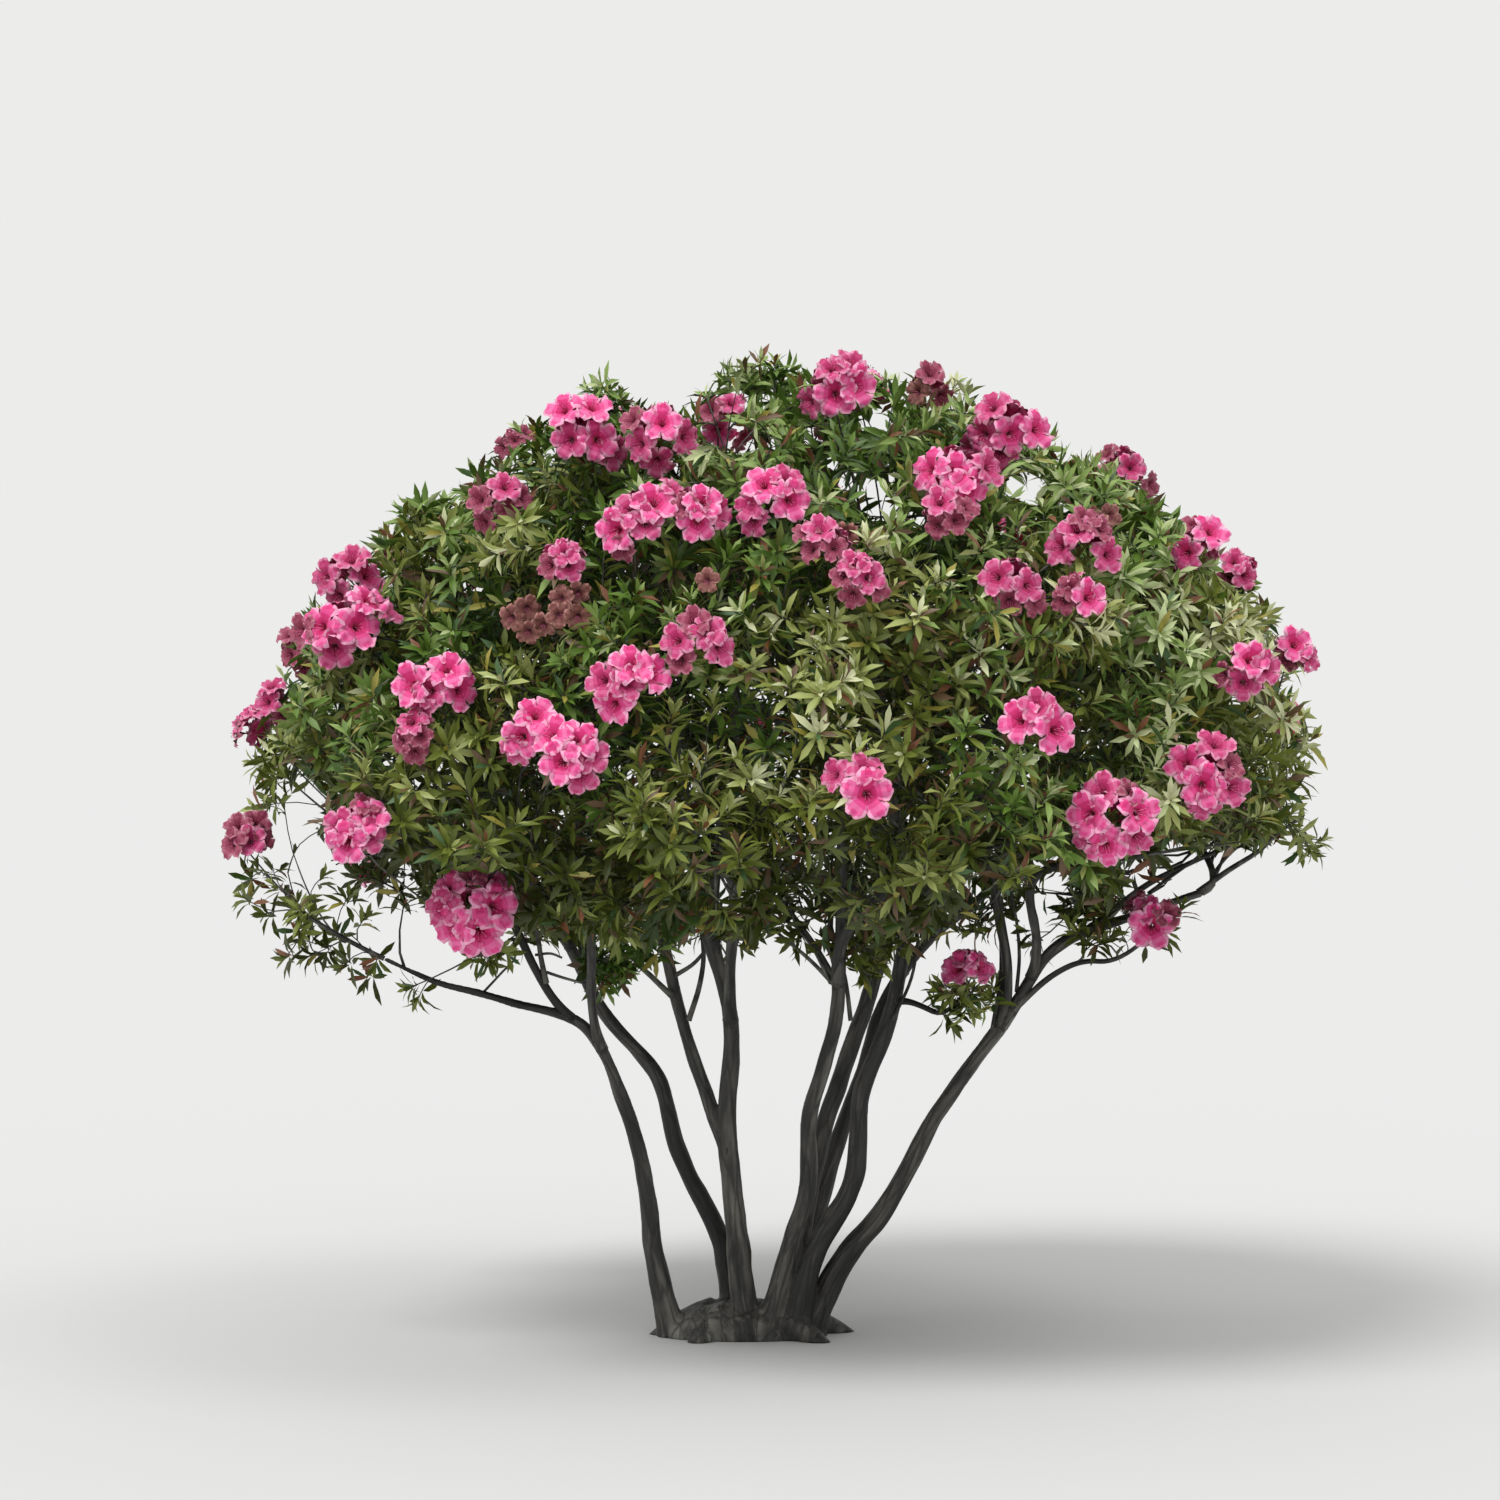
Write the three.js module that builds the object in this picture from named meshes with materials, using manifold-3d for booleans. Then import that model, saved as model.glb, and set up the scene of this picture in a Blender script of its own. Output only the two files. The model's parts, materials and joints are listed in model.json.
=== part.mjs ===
// A pink azalea shrub that is rooted in the ground, at its real size in millimetres.
// +Z is up, -Y is the side that faces the viewer, and the origin is the middle of the flat
// cut at ground level. Stems rise from one root crown and fork into boughs, and each stem
// and bough ends where it enters a mass of foliage. A mass is one small stem whose twigs
// carry whorls of leaves and trusses of blossom, all fused into one solid.

import * as THREE from "three";
import { mergeVertices } from "three/addons/utils/BufferGeometryUtils.js";
import Module from "manifold-3d";

const wasm = await Module();
wasm.setup();
const { Manifold } = wasm;

const vector = (x, y, z) => new THREE.Vector3(x, y, z);
const up = vector(0, 0, 1);
const goldenAngle = 137.5;

// The crown is two half ellipsoids that share their widest level. Half way up the upper one
// its middle leans to the right.
const crown = {
  width: 1556, depth: 1400, top: 1380, widest: 700, bottom: 548, middleX: 9, lean: 34,
};
const focus = vector(crown.middleX, 0, 600); // the boughs fan out from about here
const viewer = vector(-21, -5000, 819); // where the blossom places are seen from

const jointGap = 0.3; // between two pieces that meet
const collarClearance = 3; // how far a fork's collar carries a bough off its stem
const limbClearance = 2.5; // between foliage and any stem or bough
const spaceMargin = 1.5; // between foliage and the edge of its mass's space
const trussMeasure = 0.965; // how near the crown's outline the trusses sit

const rootCrown = { middleX: -30, width: 236, depth: 118, height: 52, seatHeight: 96 };
const spreadingRoots = { count: 5, radius: [24, 14] };
const stemFaces = { sides: 6, step: 72 };
const boughFaces = { sides: 5, step: 95 };
const bough = { radius: [8.5, 5.6], sprayRadius: [4.4, 3.6], parentShare: 0.8 };

// How far out a bough ends, as a share of the way to the outline. The mass's own stem runs
// on from there by hubStep, or at least by shortestStem.
const boughEnd = { rim: 0.6, middle: 0.55, upper: 0.5, top: 0.5 };
const hubStep = 0.17;
const shortestStem = 70;

const twig = { foot: 2.8, tip: 2.2, firstFork: 0.18, lastFork: 0.96, stemTip: 4.6 };
const tips = {
  spacing: 88, room: 14, spread: 200, places: 60, nearest: 0.84, furthest: 0.92,
  leafy: [5, 4, 4, 4, 3], // by the number of trusses on the same mass
};
const leaf = {
  length: 126, width: 50, widestAt: 0.45, notch: 0.09, budThickness: 6, tilt: 62, apart: 15,
  seat: [13, 2.6], // where the twig enters a whorl, along and beside the rib of its first leaf
};
const leavesPerWhorl = 5;
const shorterLeaves = [1, 0.8, 0.6, 0.42, 0.26, 0.12]; // tried in turn until one fits
const truss = { lobes: 5, notch: 0.77, height: 0.5, seat: 0.18 }; // by the truss's radius
const backTrusses = { count: 15, radius: [40, 56], apart: 55, behind: 60 };

// Stems, from left to right, by a few points that each one bends through. A stem without
// a parent starts in the root crown, and each ends where it enters the mass that it feeds.
const stems = {
  stem_far_left: {
    radius: [16.5, 3.6], feeds: "spray_left_low",
    bends: [[-130, -6, 0], [-156, -20, 125], [-166, -34, 217], [-197, -54, 336], [-250, -74, 438],
      [-350, -98, 474], [-450, -115, 502], [-520, -124, 534]],
  },
  stem_left: {
    radius: [15.5, 7], feeds: "mass_rim_6",
    bends: [[-40, 20, 0], [-62, 26, 126], [-123, 42, 254], [-152, 56, 356], [-226, 80, 442],
      [-290, 104, 553]],
  },
  stem_middle: {
    radius: [18, 6.5], feeds: "mass_middle_6",
    bends: [[-24, -16, 0], [-38, -28, 130], [-52, -48, 290], [-48, -76, 450], [-88, -128, 610]],
  },
  stem_middle_left: {
    radius: [11, 6], feeds: "mass_middle_5", parent: "stem_middle", height: 264,
    bends: [[-71, -42, 312], [-91, -32, 366], [-121, -22, 462], [-140, -20, 540], [-164, -30, 610]],
  },
  stem_right_front: {
    radius: [16, 6.5], feeds: "mass_rim_10",
    bends: [[2, -24, 0], [36, -36, 132], [58, -50, 212], [61, -64, 312], [83, -84, 392],
      [98, -108, 462], [104, -160, 560]],
  },
  stem_leader: {
    radius: [17, 7], feeds: "mass_top",
    bends: [[18, 4, 0], [44, 8, 110], [68, 10, 236], [105, 10, 357], [144, 13, 468],
      [175, 16, 590], [146, 12, 750], [48, 4, 930]],
  },
  stem_right_back: {
    radius: [16, 6.5], feeds: "mass_rim_2",
    bends: [[28, 34, 0], [56, 43, 105], [97, 54, 246], [137, 66, 357], [170, 82, 458],
      [231, 138, 541], [318, 190, 608]],
  },
  stem_right: {
    radius: [17, 7], feeds: "mass_upper_5",
    bends: [[38, -30, 0], [66, -34, 112], [122, -38, 222], [133, -42, 338], [172, -46, 446],
      [196, -60, 620], [160, -86, 830]],
  },
  stem_far_right: {
    radius: [18, 5.4], feeds: "mass_rim_1",
    bends: [[58, -4, 0], [104, -14, 100], [167, -24, 181], [243, -38, 320], [338, -56, 454],
      [398, -64, 543], [504, -66, 588], [604, -60, 622]],
  },
};

// The masses stand in tiers. Each entry under from says which stem the mass's bough leaves
// and at what height, or null where a stem itself ends in the mass.
const tiers = [
  {
    name: "rim", elevation: 8, firstTurn: 0,
    from: [null, null, ["stem_right_back", 497], ["stem_leader", 560], ["stem_left", 490],
      null, ["stem_far_left", 446], ["stem_far_left", 400], ["stem_middle", 444], null,
      ["stem_far_right", 500]],
  },
  {
    name: "middle", elevation: 38, firstTurn: 22,
    from: [["stem_right_back", 548], ["stem_leader", 610], ["stem_leader", 660],
      ["stem_left", 530], null, null, ["stem_right_front", 500], ["stem_far_right", 432]],
  },
  {
    name: "upper", elevation: 64, firstTurn: 36,
    from: [["stem_leader", 710], ["stem_leader", 770], ["stem_middle_left", 560],
      ["stem_middle", 540], null],
  },
  { name: "top", elevation: 90, firstTurn: 0, from: [null] },
];

// Three small sprays hang outside the dome, each in a ball of space of its own.
const sprays = [
  {
    name: "spray_left_low", middle: [-640, -110, 600], reach: [150, 120, 120], leafyTips: 6,
    leafScale: 0.62,
  },
  {
    name: "spray_right_low", middle: [520, -110, 560], reach: [95, 80, 70], leafyTips: 3,
    leafScale: 0.6, from: ["stem_far_right", 452], entry: [458, -84, 528],
  },
  {
    name: "sprig_inner_right", middle: [272, -84, 482], reach: [66, 60, 60], leafyTips: 3,
    leafScale: 0.6, from: ["stem_right", 462], entry: [232, -72, 458],
  },
];

// Where the side that shows has its trusses: across, up and half width, as the viewer sees
// them. Those behind show dimly through the crown's far side.
const frontTrusses = [
  [98, 1330, 50], [-258, 1266, 58], [-148, 1264, 52], [336, 1274, 56], [266, 1204, 54],
  [252, 1146, 40], [-374, 1168, 46], [-174, 1140, 56], [-98, 1154, 42], [8, 1168, 50],
  [-280, 1084, 38], [90, 1098, 48], [132, 1060, 44], [-588, 1064, 46], [-594, 990, 58],
  [-650, 958, 38], [-700, 886, 34], [-736, 852, 30], [-458, 910, 50], [-488, 842, 34],
  [-196, 910, 50], [-98, 966, 52], [-322, 846, 42], [-272, 812, 48], [-570, 704, 48],
  [-416, 592, 58], [142, 760, 46], [384, 858, 50], [448, 1106, 50], [434, 1036, 38],
  [342, 1056, 46], [608, 1106, 42], [664, 1070, 34], [672, 930, 44], [744, 958, 40],
  [488, 724, 54], [618, 784, 54],
];
const behindTrusses = [[228, 1330, 36], [-60, 1288, 40], [512, 1218, 44], [-350, 1246, 30]];
const sprayTrusses = [
  ["spray_left_low", [-718, -100, 690], 42], ["spray_right_low", [540, -120, 582], 40],
  ["sprig_inner_right", [284, -88, 505], 28],
];

const bark = { color: 0x45443f, roughness: 0.85, metalness: 0 };
const foliage = { color: 0x47552a, roughness: 0.55, metalness: 0 };

// A small seeded generator, so that each run grows the same shrub.
function seededRandom(seed) {
  let state = Math.imul(seed + 1, 2654435761) >>> 0;
  return () => {
    state = (Math.imul(state, 1664525) + 1013904223) >>> 0;
    return state / 4294967296;
  };
}

// Two directions that stand square to an axis and to each other.
function sideways(axis) {
  const first = Math.abs(axis.z) < 0.9 ? vector(-axis.y, axis.x, 0) : vector(1, 0, 0);
  first.addScaledVector(axis, -first.dot(axis)).normalize();
  return [first, axis.clone().cross(first)];
}

// A closed geometry as a solid.
function solidOf(geometry) {
  const bare = geometry.clone();
  bare.deleteAttribute("normal");
  bare.deleteAttribute("uv");
  const merged = mergeVertices(bare, 1e-4);
  return new Manifold(new wasm.Mesh({
    numProp: 3,
    vertProperties: merged.attributes.position.array,
    triVerts: new Uint32Array(merged.index.array),
  }));
}

// The fused pieces as one body: loose scraps are dropped and sealed hollows are filled.
function fused(solids) {
  const bodies = Manifold.union(solids).simplify(0.08).decompose();
  return bodies.reduce((most, body) => (body.volume() > most.volume() ? body : most));
}

function meshOf(name, solid, finish) {
  const { vertProperties, triVerts } = solid.getMesh();
  const geometry = new THREE.BufferGeometry()
    .setAttribute("position", new THREE.BufferAttribute(vertProperties, 3))
    .setIndex(new THREE.BufferAttribute(triVerts, 1));
  geometry.computeVertexNormals();
  const mesh = new THREE.Mesh(geometry, new THREE.MeshStandardMaterial(finish));
  mesh.name = name;
  return mesh;
}

// A tapering limb along a curve.
class Limb {
  constructor(curve, [footRadius, tipRadius], sides) {
    this.curve = curve;
    this.footRadius = footRadius;
    this.tipRadius = tipRadius;
    this.sides = sides;
    this.length = curve.getLength();
    this.stations = Math.ceil(this.length / 8);
    this.frames = curve.computeFrenetFrames(this.stations, false);
    this.samples = Array.from({ length: this.stations + 1 }, (_, i) => ({
      point: curve.getPointAt(i / this.stations),
      radius: this.radiusAt(i / this.stations),
    }));
    this.from = 0;
  }

  radiusAt(share) {
    return THREE.MathUtils.lerp(this.footRadius, this.tipRadius, Math.pow(share, 0.8));
  }

  // A ring's own directions, blended from the two stations beside it.
  ringAt(share) {
    const along = Math.min(share * this.stations, this.stations - 1e-6);
    const station = Math.floor(along);
    const axis = this.curve.getTangentAt(share);
    const out = this.frames.normals[station].clone()
      .lerp(this.frames.normals[station + 1], along - station);
    out.addScaledVector(axis, -out.dot(axis)).normalize();
    return { middle: this.curve.getPointAt(share), out, across: out.clone().cross(axis) };
  }

  // The stretch between two shares of the length, as a solid with flat ends.
  stretch(from, to, stepLength) {
    const steps = Math.max(1, Math.round(((to - from) * this.length) / stepLength));
    const tube = new THREE.CylinderGeometry(1, 1, 1, this.sides, steps);
    const places = tube.attributes.position;
    for (let i = 0; i < places.count; i++) {
      const share = THREE.MathUtils.lerp(from, to, places.getY(i) + 0.5);
      const ring = this.ringAt(share);
      const radius = this.radiusAt(share);
      const place = ring.middle
        .addScaledVector(ring.out, places.getX(i) * radius)
        .addScaledVector(ring.across, places.getZ(i) * radius);
      places.setXYZ(i, place.x, place.y, place.z);
    }
    return solidOf(tube);
  }

  shareAtHeight(height) {
    const station = this.samples.findIndex(({ point }) => point.z >= height);
    return station / this.stations;
  }

  // The first share of this limb's length at which it stands clear of its parent.
  shareClearOf(parent) {
    const station = this.samples.findIndex(({ point, radius }) =>
      parent.samples.every((other) =>
        point.distanceTo(other.point) > radius + other.radius + collarClearance));
    return station / this.stations;
  }
}

// 1 on the crown's outline, less inside it.
function crownMeasure(point) {
  const half = point.z > crown.widest ? crown.top - crown.widest : crown.widest - crown.bottom;
  const rise = THREE.MathUtils.clamp((point.z - crown.widest) / half, 0, 1);
  const lean = crown.lean * Math.sin(Math.PI * rise);
  return Math.hypot(
    (point.x - crown.middleX - lean) / (crown.width / 2),
    point.y / (crown.depth / 2),
    (point.z - crown.widest) / half,
  );
}

// The point that lies at a measure of the crown, straight out from the focus.
function crownPoint(direction, measure) {
  let near = 0;
  let far = crown.width;
  for (let i = 0; i < 40; i++) {
    const middle = (near + far) / 2;
    const reached = crownMeasure(focus.clone().addScaledVector(direction, middle)) > measure;
    if (reached) far = middle;
    else near = middle;
  }
  return focus.clone().addScaledVector(direction, far);
}

// A direction from its height above the level and its turn round the plant, in degrees.
function direction(elevation, turn) {
  const lift = THREE.MathUtils.degToRad(elevation);
  const round = THREE.MathUtils.degToRad(turn);
  return vector(Math.cos(lift) * Math.cos(round), Math.cos(lift) * Math.sin(round), Math.sin(lift));
}

// Lays out the masses: where each is entered, where its twigs fan out, and its kind.
function planMasses() {
  const masses = [];
  for (const tier of tiers) {
    tier.from.forEach((from, i) => {
      const outward = direction(tier.elevation, tier.firstTurn + (360 * i) / tier.from.length);
      const edge = crownPoint(outward, 1);
      const name = tier.from.length > 1 ? `mass_${tier.name}_${i + 1}` : `mass_${tier.name}`;
      masses.push({
        name, from, outward, leafScale: 1,
        entry: focus.clone().lerp(edge, boughEnd[tier.name]),
        hub: focus.clone().lerp(edge, boughEnd[tier.name] + hubStep),
      });
    });
  }
  for (const { name, middle, reach, leafyTips: count, leafScale, from = null, entry } of sprays) {
    const hub = vector(...middle);
    masses.push({
      name, from, hub, leafScale, leafyTips: count, reach: vector(...reach),
      entry: entry && vector(...entry), outward: hub.clone().sub(focus).normalize(),
    });
  }
  return masses;
}

// True where the point is inside a spray's ball.
function inBall(mass, point, margin) {
  const away = point.clone().sub(mass.hub);
  return Math.hypot(
    away.x / (mass.reach.x - margin),
    away.y / (mass.reach.y - margin),
    away.z / (mass.reach.z - margin),
  ) < 1;
}

// A mass's space: round its own trusses, or nearer to its hub than to any other and inside
// the crown, and never round another mass's truss or in a spray's ball.
function inSpace(mass, point, margin = spaceMargin) {
  const near = trusses.find((t) => point.distanceTo(t.middle) < t.radius + margin);
  if (near) return near.mass === mass;
  if (mass.reach) return inBall(mass, point, margin);
  if (crownMeasure(point) > 1) return false;
  return masses.every((other) => {
    if (other === mass) return true;
    if (other.reach) return !inBall(other, point, -margin);
    const apart = other.hub.distanceTo(mass.hub);
    const nearer = point.distanceToSquared(other.hub) - point.distanceToSquared(mass.hub);
    return nearer / (2 * apart) > margin;
  });
}

function nearestMass(point) {
  const domes = masses.filter((mass) => !mass.reach);
  return domes.reduce((best, mass) =>
    mass.hub.distanceTo(point) < best.hub.distanceTo(point) ? mass : best);
}

// The place on the crown's near side, -1, or its far side, 1, that the viewer sees at a spot.
function seenOnCrown(across, height, side) {
  const spot = vector(across, 0, height);
  const along = spot.clone().sub(viewer).divideScalar(-viewer.y);
  const place = spot.clone();
  const step = 4 * side;
  while (crownMeasure(place) < trussMeasure) place.addScaledVector(along, step);
  if (place.equals(spot)) {
    const middle = vector(crown.middleX, 0, crown.widest);
    place.sub(middle).multiplyScalar(trussMeasure / crownMeasure(spot)).add(middle);
  }
  return place;
}

// Every truss: its middle, its radius, the way it faces and the mass that bears it.
function planTrusses() {
  const planned = [];
  const facing = (place) => {
    const out = vector(
      (place.x - crown.middleX) / crown.width ** 2,
      place.y / crown.depth ** 2,
      (place.z - crown.widest) / (2 * (crown.top - crown.widest)) ** 2,
    ).normalize();
    return out.addScaledVector(up, 0.35).normalize();
  };
  const add = (place, radius, mass) => {
    const touched = planned.find((t) => t.middle.distanceTo(place) < t.radius + radius + 6);
    const bearer = mass || (touched ? touched.mass : nearestMass(place));
    planned.push({ middle: place, radius, axis: facing(place), mass: bearer });
  };
  frontTrusses.forEach(([x, z, radius]) => add(seenOnCrown(x, z, -1), radius));
  behindTrusses.forEach(([x, z, radius]) => add(seenOnCrown(x, z, 1), radius));
  sprayTrusses.forEach(([name, place, radius]) => add(vector(...place), radius, massNamed(name)));
  // The side that doesn't show is dealt its trusses evenly, by the golden angle.
  const random = seededRandom(7);
  const wanted = planned.length + backTrusses.count;
  for (let i = 0; planned.length < wanted; i++) {
    const lift = 4 + 76 * Math.pow(random(), 0.8);
    const radius = THREE.MathUtils.lerp(...backTrusses.radius, random());
    const place = crownPoint(direction(lift, (goldenAngle * i) % 180), trussMeasure);
    const free = planned.every((t) =>
      t.middle.distanceTo(place) > t.radius + radius + backTrusses.apart);
    if (free && place.y > backTrusses.behind) add(place, radius);
  }
  return planned;
}

// Clear of every limb by more than the foliage's own half width.
function clearOfLimbs(point, halfWidth) {
  return limbs.every((limb) => limb.samples.every((sample) =>
    point.distanceTo(sample.point) > sample.radius + halfWidth + limbClearance));
}

// The tips of a mass: its trusses first, then leafy tips on a spiral that fills its space.
function planTips(mass, random) {
  const planned = trusses.filter((t) => t.mass === mass).map(({ middle, radius, axis }) => {
    const place = middle.clone().addScaledVector(sideways(axis)[0], -truss.seat * radius);
    return { place, axis, radius };
  });
  const [right, over] = sideways(mass.outward);
  const firstTurn = random() * 360;
  const spread = mass.reach ? mass.reach.x : tips.spread;
  const leafy = mass.leafyTips || tips.leafy[Math.min(planned.length, tips.leafy.length - 1)];
  const wanted = planned.length + leafy;
  for (let k = 0; k < tips.places && planned.length < wanted; k++) {
    const turn = THREE.MathUtils.degToRad(firstTurn + goldenAngle * k);
    const away = spread * Math.sqrt((k + 0.4) / tips.places);
    const place = mass.hub.clone()
      .addScaledVector(right, Math.cos(turn) * away)
      .addScaledVector(over, Math.sin(turn) * away);
    const measure = THREE.MathUtils.lerp(tips.nearest, tips.furthest, random());
    if (!mass.reach) place.copy(crownPoint(place.sub(focus).normalize(), measure));
    const free = planned.every((other) =>
      other.place.distanceTo(place) > tips.spacing * mass.leafScale + other.radius / 2);
    if (!free || !inSpace(mass, place, tips.room) || !clearOfLimbs(place, tips.room)) continue;
    const axis = place.clone().sub(mass.entry).normalize().addScaledVector(up, 0.25).normalize();
    planned.push({ place, axis, radius: 0 });
  }
  return planned;
}

// A straight three-sided twig between two points.
function twigSolid(foot, head) {
  const along = head.clone().sub(foot);
  const rod = new THREE.CylinderGeometry(twig.tip, twig.foot, along.length(), 3, 1);
  rod.applyQuaternion(new THREE.Quaternion().setFromUnitVectors(vector(0, 1, 0), along.normalize()));
  const middle = foot.clone().add(head).multiplyScalar(0.5);
  return solidOf(rod.translate(middle.x, middle.y, middle.z));
}

// Points along a line, to test a twig or a leaf by.
const pointsBetween = (foot, head, count) =>
  Array.from({ length: count + 1 }, (_, i) => foot.clone().lerp(head, i / count));

// A leaf from a whorl's middle: its tip, its two edge points and points along its rib.
function leafPoints(middle, { along, side }, length) {
  const head = middle.clone().addScaledVector(along, length);
  const widest = middle.clone().lerp(head, leaf.widestAt);
  const halfWidth = ((leaf.width / leaf.length) * length) / 2;
  const edges = [-1, 1].map((way) => widest.clone().addScaledVector(side, way * halfWidth));
  return { head, edges, rib: pointsBetween(middle, head, 5), halfWidth };
}

// True where a leaf keeps to the mass's space, touches no limb and lies against no leaf of
// another whorl.
function leafFits(mass, { edges, rib, halfWidth }, taken) {
  const outer = rib.slice(2);
  return [...edges, ...rib].every((point) => inSpace(mass, point, spaceMargin + 1))
    && rib.every((point) => clearOfLimbs(point, halfWidth))
    && outer.every((point) => taken.every((other) =>
      other.distanceTo(point) > leaf.apart * mass.leafScale));
}

// A whorl of pointed leaves round a bud, as one thin closed star: each leaf is a notch point,
// two edge points and a tip, and two fans of faces join them all to the bud.
function whorlSolid(mass, { place, axis }, taken, random) {
  const [right, over] = sideways(axis);
  const firstTurn = random() * 2 * Math.PI;
  const step = (2 * Math.PI) / leavesPerWhorl;
  const round = (turn) =>
    right.clone().multiplyScalar(Math.cos(turn)).addScaledVector(over, Math.sin(turn));
  const leaves = Array.from({ length: leavesPerWhorl }, (_, k) => {
    const turn = firstTurn + step * (k + 0.3 * (random() - 0.5));
    const tilt = THREE.MathUtils.degToRad(leaf.tilt + 24 * (random() - 0.5));
    const along = axis.clone().multiplyScalar(Math.cos(tilt))
      .addScaledVector(round(turn), Math.sin(tilt));
    const length = leaf.length * mass.leafScale * (0.86 + 0.28 * random());
    return { turn, along, length, side: round(turn + Math.PI / 2) };
  });
  const middle = place.clone()
    .addScaledVector(leaves[0].along, -leaf.seat[0] * mass.leafScale)
    .addScaledVector(leaves[0].side, -leaf.seat[1] * mass.leafScale);
  const outline = [];
  const grown = [];
  for (const blade of leaves) {
    const choices = shorterLeaves.map((share) => leafPoints(middle, blade, blade.length * share));
    const chosen = choices.find((points) => leafFits(mass, points, taken)) || choices.at(-1);
    const notch = round(blade.turn - step / 2).addScaledVector(axis, blade.along.dot(axis))
      .multiplyScalar(leaf.notch * leaf.length * mass.leafScale).add(middle);
    outline.push(notch, chosen.edges[0], chosen.head, chosen.edges[1]);
    grown.push(...chosen.rib.slice(2));
  }
  taken.push(...grown);
  const star = new THREE.SphereGeometry(1, outline.length, 2);
  const places = star.attributes.position;
  const row = outline.length + 1;
  const bud = [1, -1].map((way) =>
    middle.clone().addScaledVector(axis, (way * leaf.budThickness * mass.leafScale) / 2));
  for (let i = 0; i < row; i++) {
    const ring = [bud[0], outline[i % outline.length], bud[1]];
    ring.forEach((point, k) => places.setXYZ(k * row + i, point.x, point.y, point.z));
  }
  return solidOf(star);
}

// A truss of blossom, as one lobed double cone.
function trussSolid({ place, axis, radius }) {
  const dome = new THREE.SphereGeometry(1, 2 * truss.lobes, 2);
  dome.rotateX(Math.PI / 2).scale(radius, radius, truss.height * radius);
  const places = dome.attributes.position;
  for (let i = 0; i < places.count; i++) {
    const turn = Math.atan2(places.getY(i), places.getX(i));
    const inNotch = Math.round((turn / Math.PI) * truss.lobes) % 2 !== 0;
    if (inNotch) places.setXY(i, truss.notch * places.getX(i), truss.notch * places.getY(i));
  }
  const middle = place.clone().addScaledVector(sideways(axis)[0], truss.seat * radius);
  dome.applyQuaternion(new THREE.Quaternion().setFromUnitVectors(up, axis));
  return solidOf(dome.translate(middle.x, middle.y, middle.z));
}

// One mass: its stem, and a twig for each tip. The twigs leave the stem in turn, those that
// reach furthest to the side first.
function growMass(mass, seed) {
  const random = seededRandom(seed);
  const foot = mass.entry.clone().addScaledVector(mass.feedDirection, jointGap);
  const bend = foot.clone().addScaledVector(mass.feedDirection, 0.4 * foot.distanceTo(mass.hub));
  const curve = new THREE.QuadraticBezierCurve3(foot, bend, mass.hub);
  const stem = new Limb(curve, [mass.feedRadius, twig.stemTip * mass.leafScale], 4);
  const line = new THREE.Line3(foot, mass.hub);
  const aside = (place) => line.closestPointToPoint(place, false, vector()).distanceTo(place);
  const planned = planTips(mass, random).sort((a, b) => aside(b.place) - aside(a.place));
  const pieces = [stem.stretch(0, 1, stem.length / 3)];
  const taken = [];
  planned.forEach((tip, i) => {
    const order = i / Math.max(planned.length - 1, 1);
    const fork = curve.getPointAt(THREE.MathUtils.lerp(twig.firstFork, twig.lastFork, order));
    const fits = pointsBetween(fork, tip.place, 12).every((point, k) =>
      inSpace(mass, point, twig.foot) && (k < 2 || clearOfLimbs(point, twig.foot)));
    if (!fits) return;
    pieces.push(twigSolid(fork, tip.place));
    pieces.push(tip.radius ? trussSolid(tip) : whorlSolid(mass, tip, taken, random));
  });
  return fused(pieces);
}

// The root crown: the feet of the stems, a burl and spreading roots, cut flat at the ground.
function rootCrownSolid(feet) {
  const { middleX, width, depth, height } = rootCrown;
  const burl = new THREE.SphereGeometry(1, 9, 4);
  burl.rotateX(Math.PI / 2).scale(width / 2, depth / 2, height).translate(middleX, 0, 0);
  const pieces = [solidOf(burl), ...feet];
  for (let k = 0; k < spreadingRoots.count; k++) {
    const turn = (2 * Math.PI * (k + 0.35)) / spreadingRoots.count;
    const reach = 1 + 0.14 * Math.sin(5 * k + 1);
    const rootAt = (share, z) => vector(
      middleX + (share * reach * Math.cos(turn) * width) / 2,
      (share * reach * Math.sin(turn) * depth) / 2,
      z,
    );
    const ridge = new THREE.QuadraticBezierCurve3(
      rootAt(0.4, 30),
      rootAt(0.9, 22),
      rootAt(1.35, -22),
    );
    pieces.push(new Limb(ridge, spreadingRoots.radius, 4).stretch(0, 1, width));
  }
  const soil = new THREE.BoxGeometry(900, 900, 200).translate(0, 0, -100);
  return fused([Manifold.union(pieces).subtract(solidOf(soil))]);
}

const masses = planMasses();
const massNamed = (name) => masses.find((mass) => mass.name === name);
const trusses = planTrusses();
const limbs = [];
const limbNamed = (name) => limbs.find((limb) => limb.name === name);

// Adds one limb, cuts its collar from its own first stretch, and tells its mass how it ends.
function addLimb(name, curve, radius, { sides, step }, mass, parent) {
  const limb = new Limb(curve, radius, sides);
  Object.assign(limb, { name, parent, step, collars: [] });
  if (parent) {
    limb.from = limb.shareClearOf(parent);
    parent.collars.push(limb.stretch(0, limb.from, step));
  }
  mass.feedDirection = curve.getTangentAt(1);
  mass.feedRadius = radius[1];
  limbs.push(limb);
}

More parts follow.
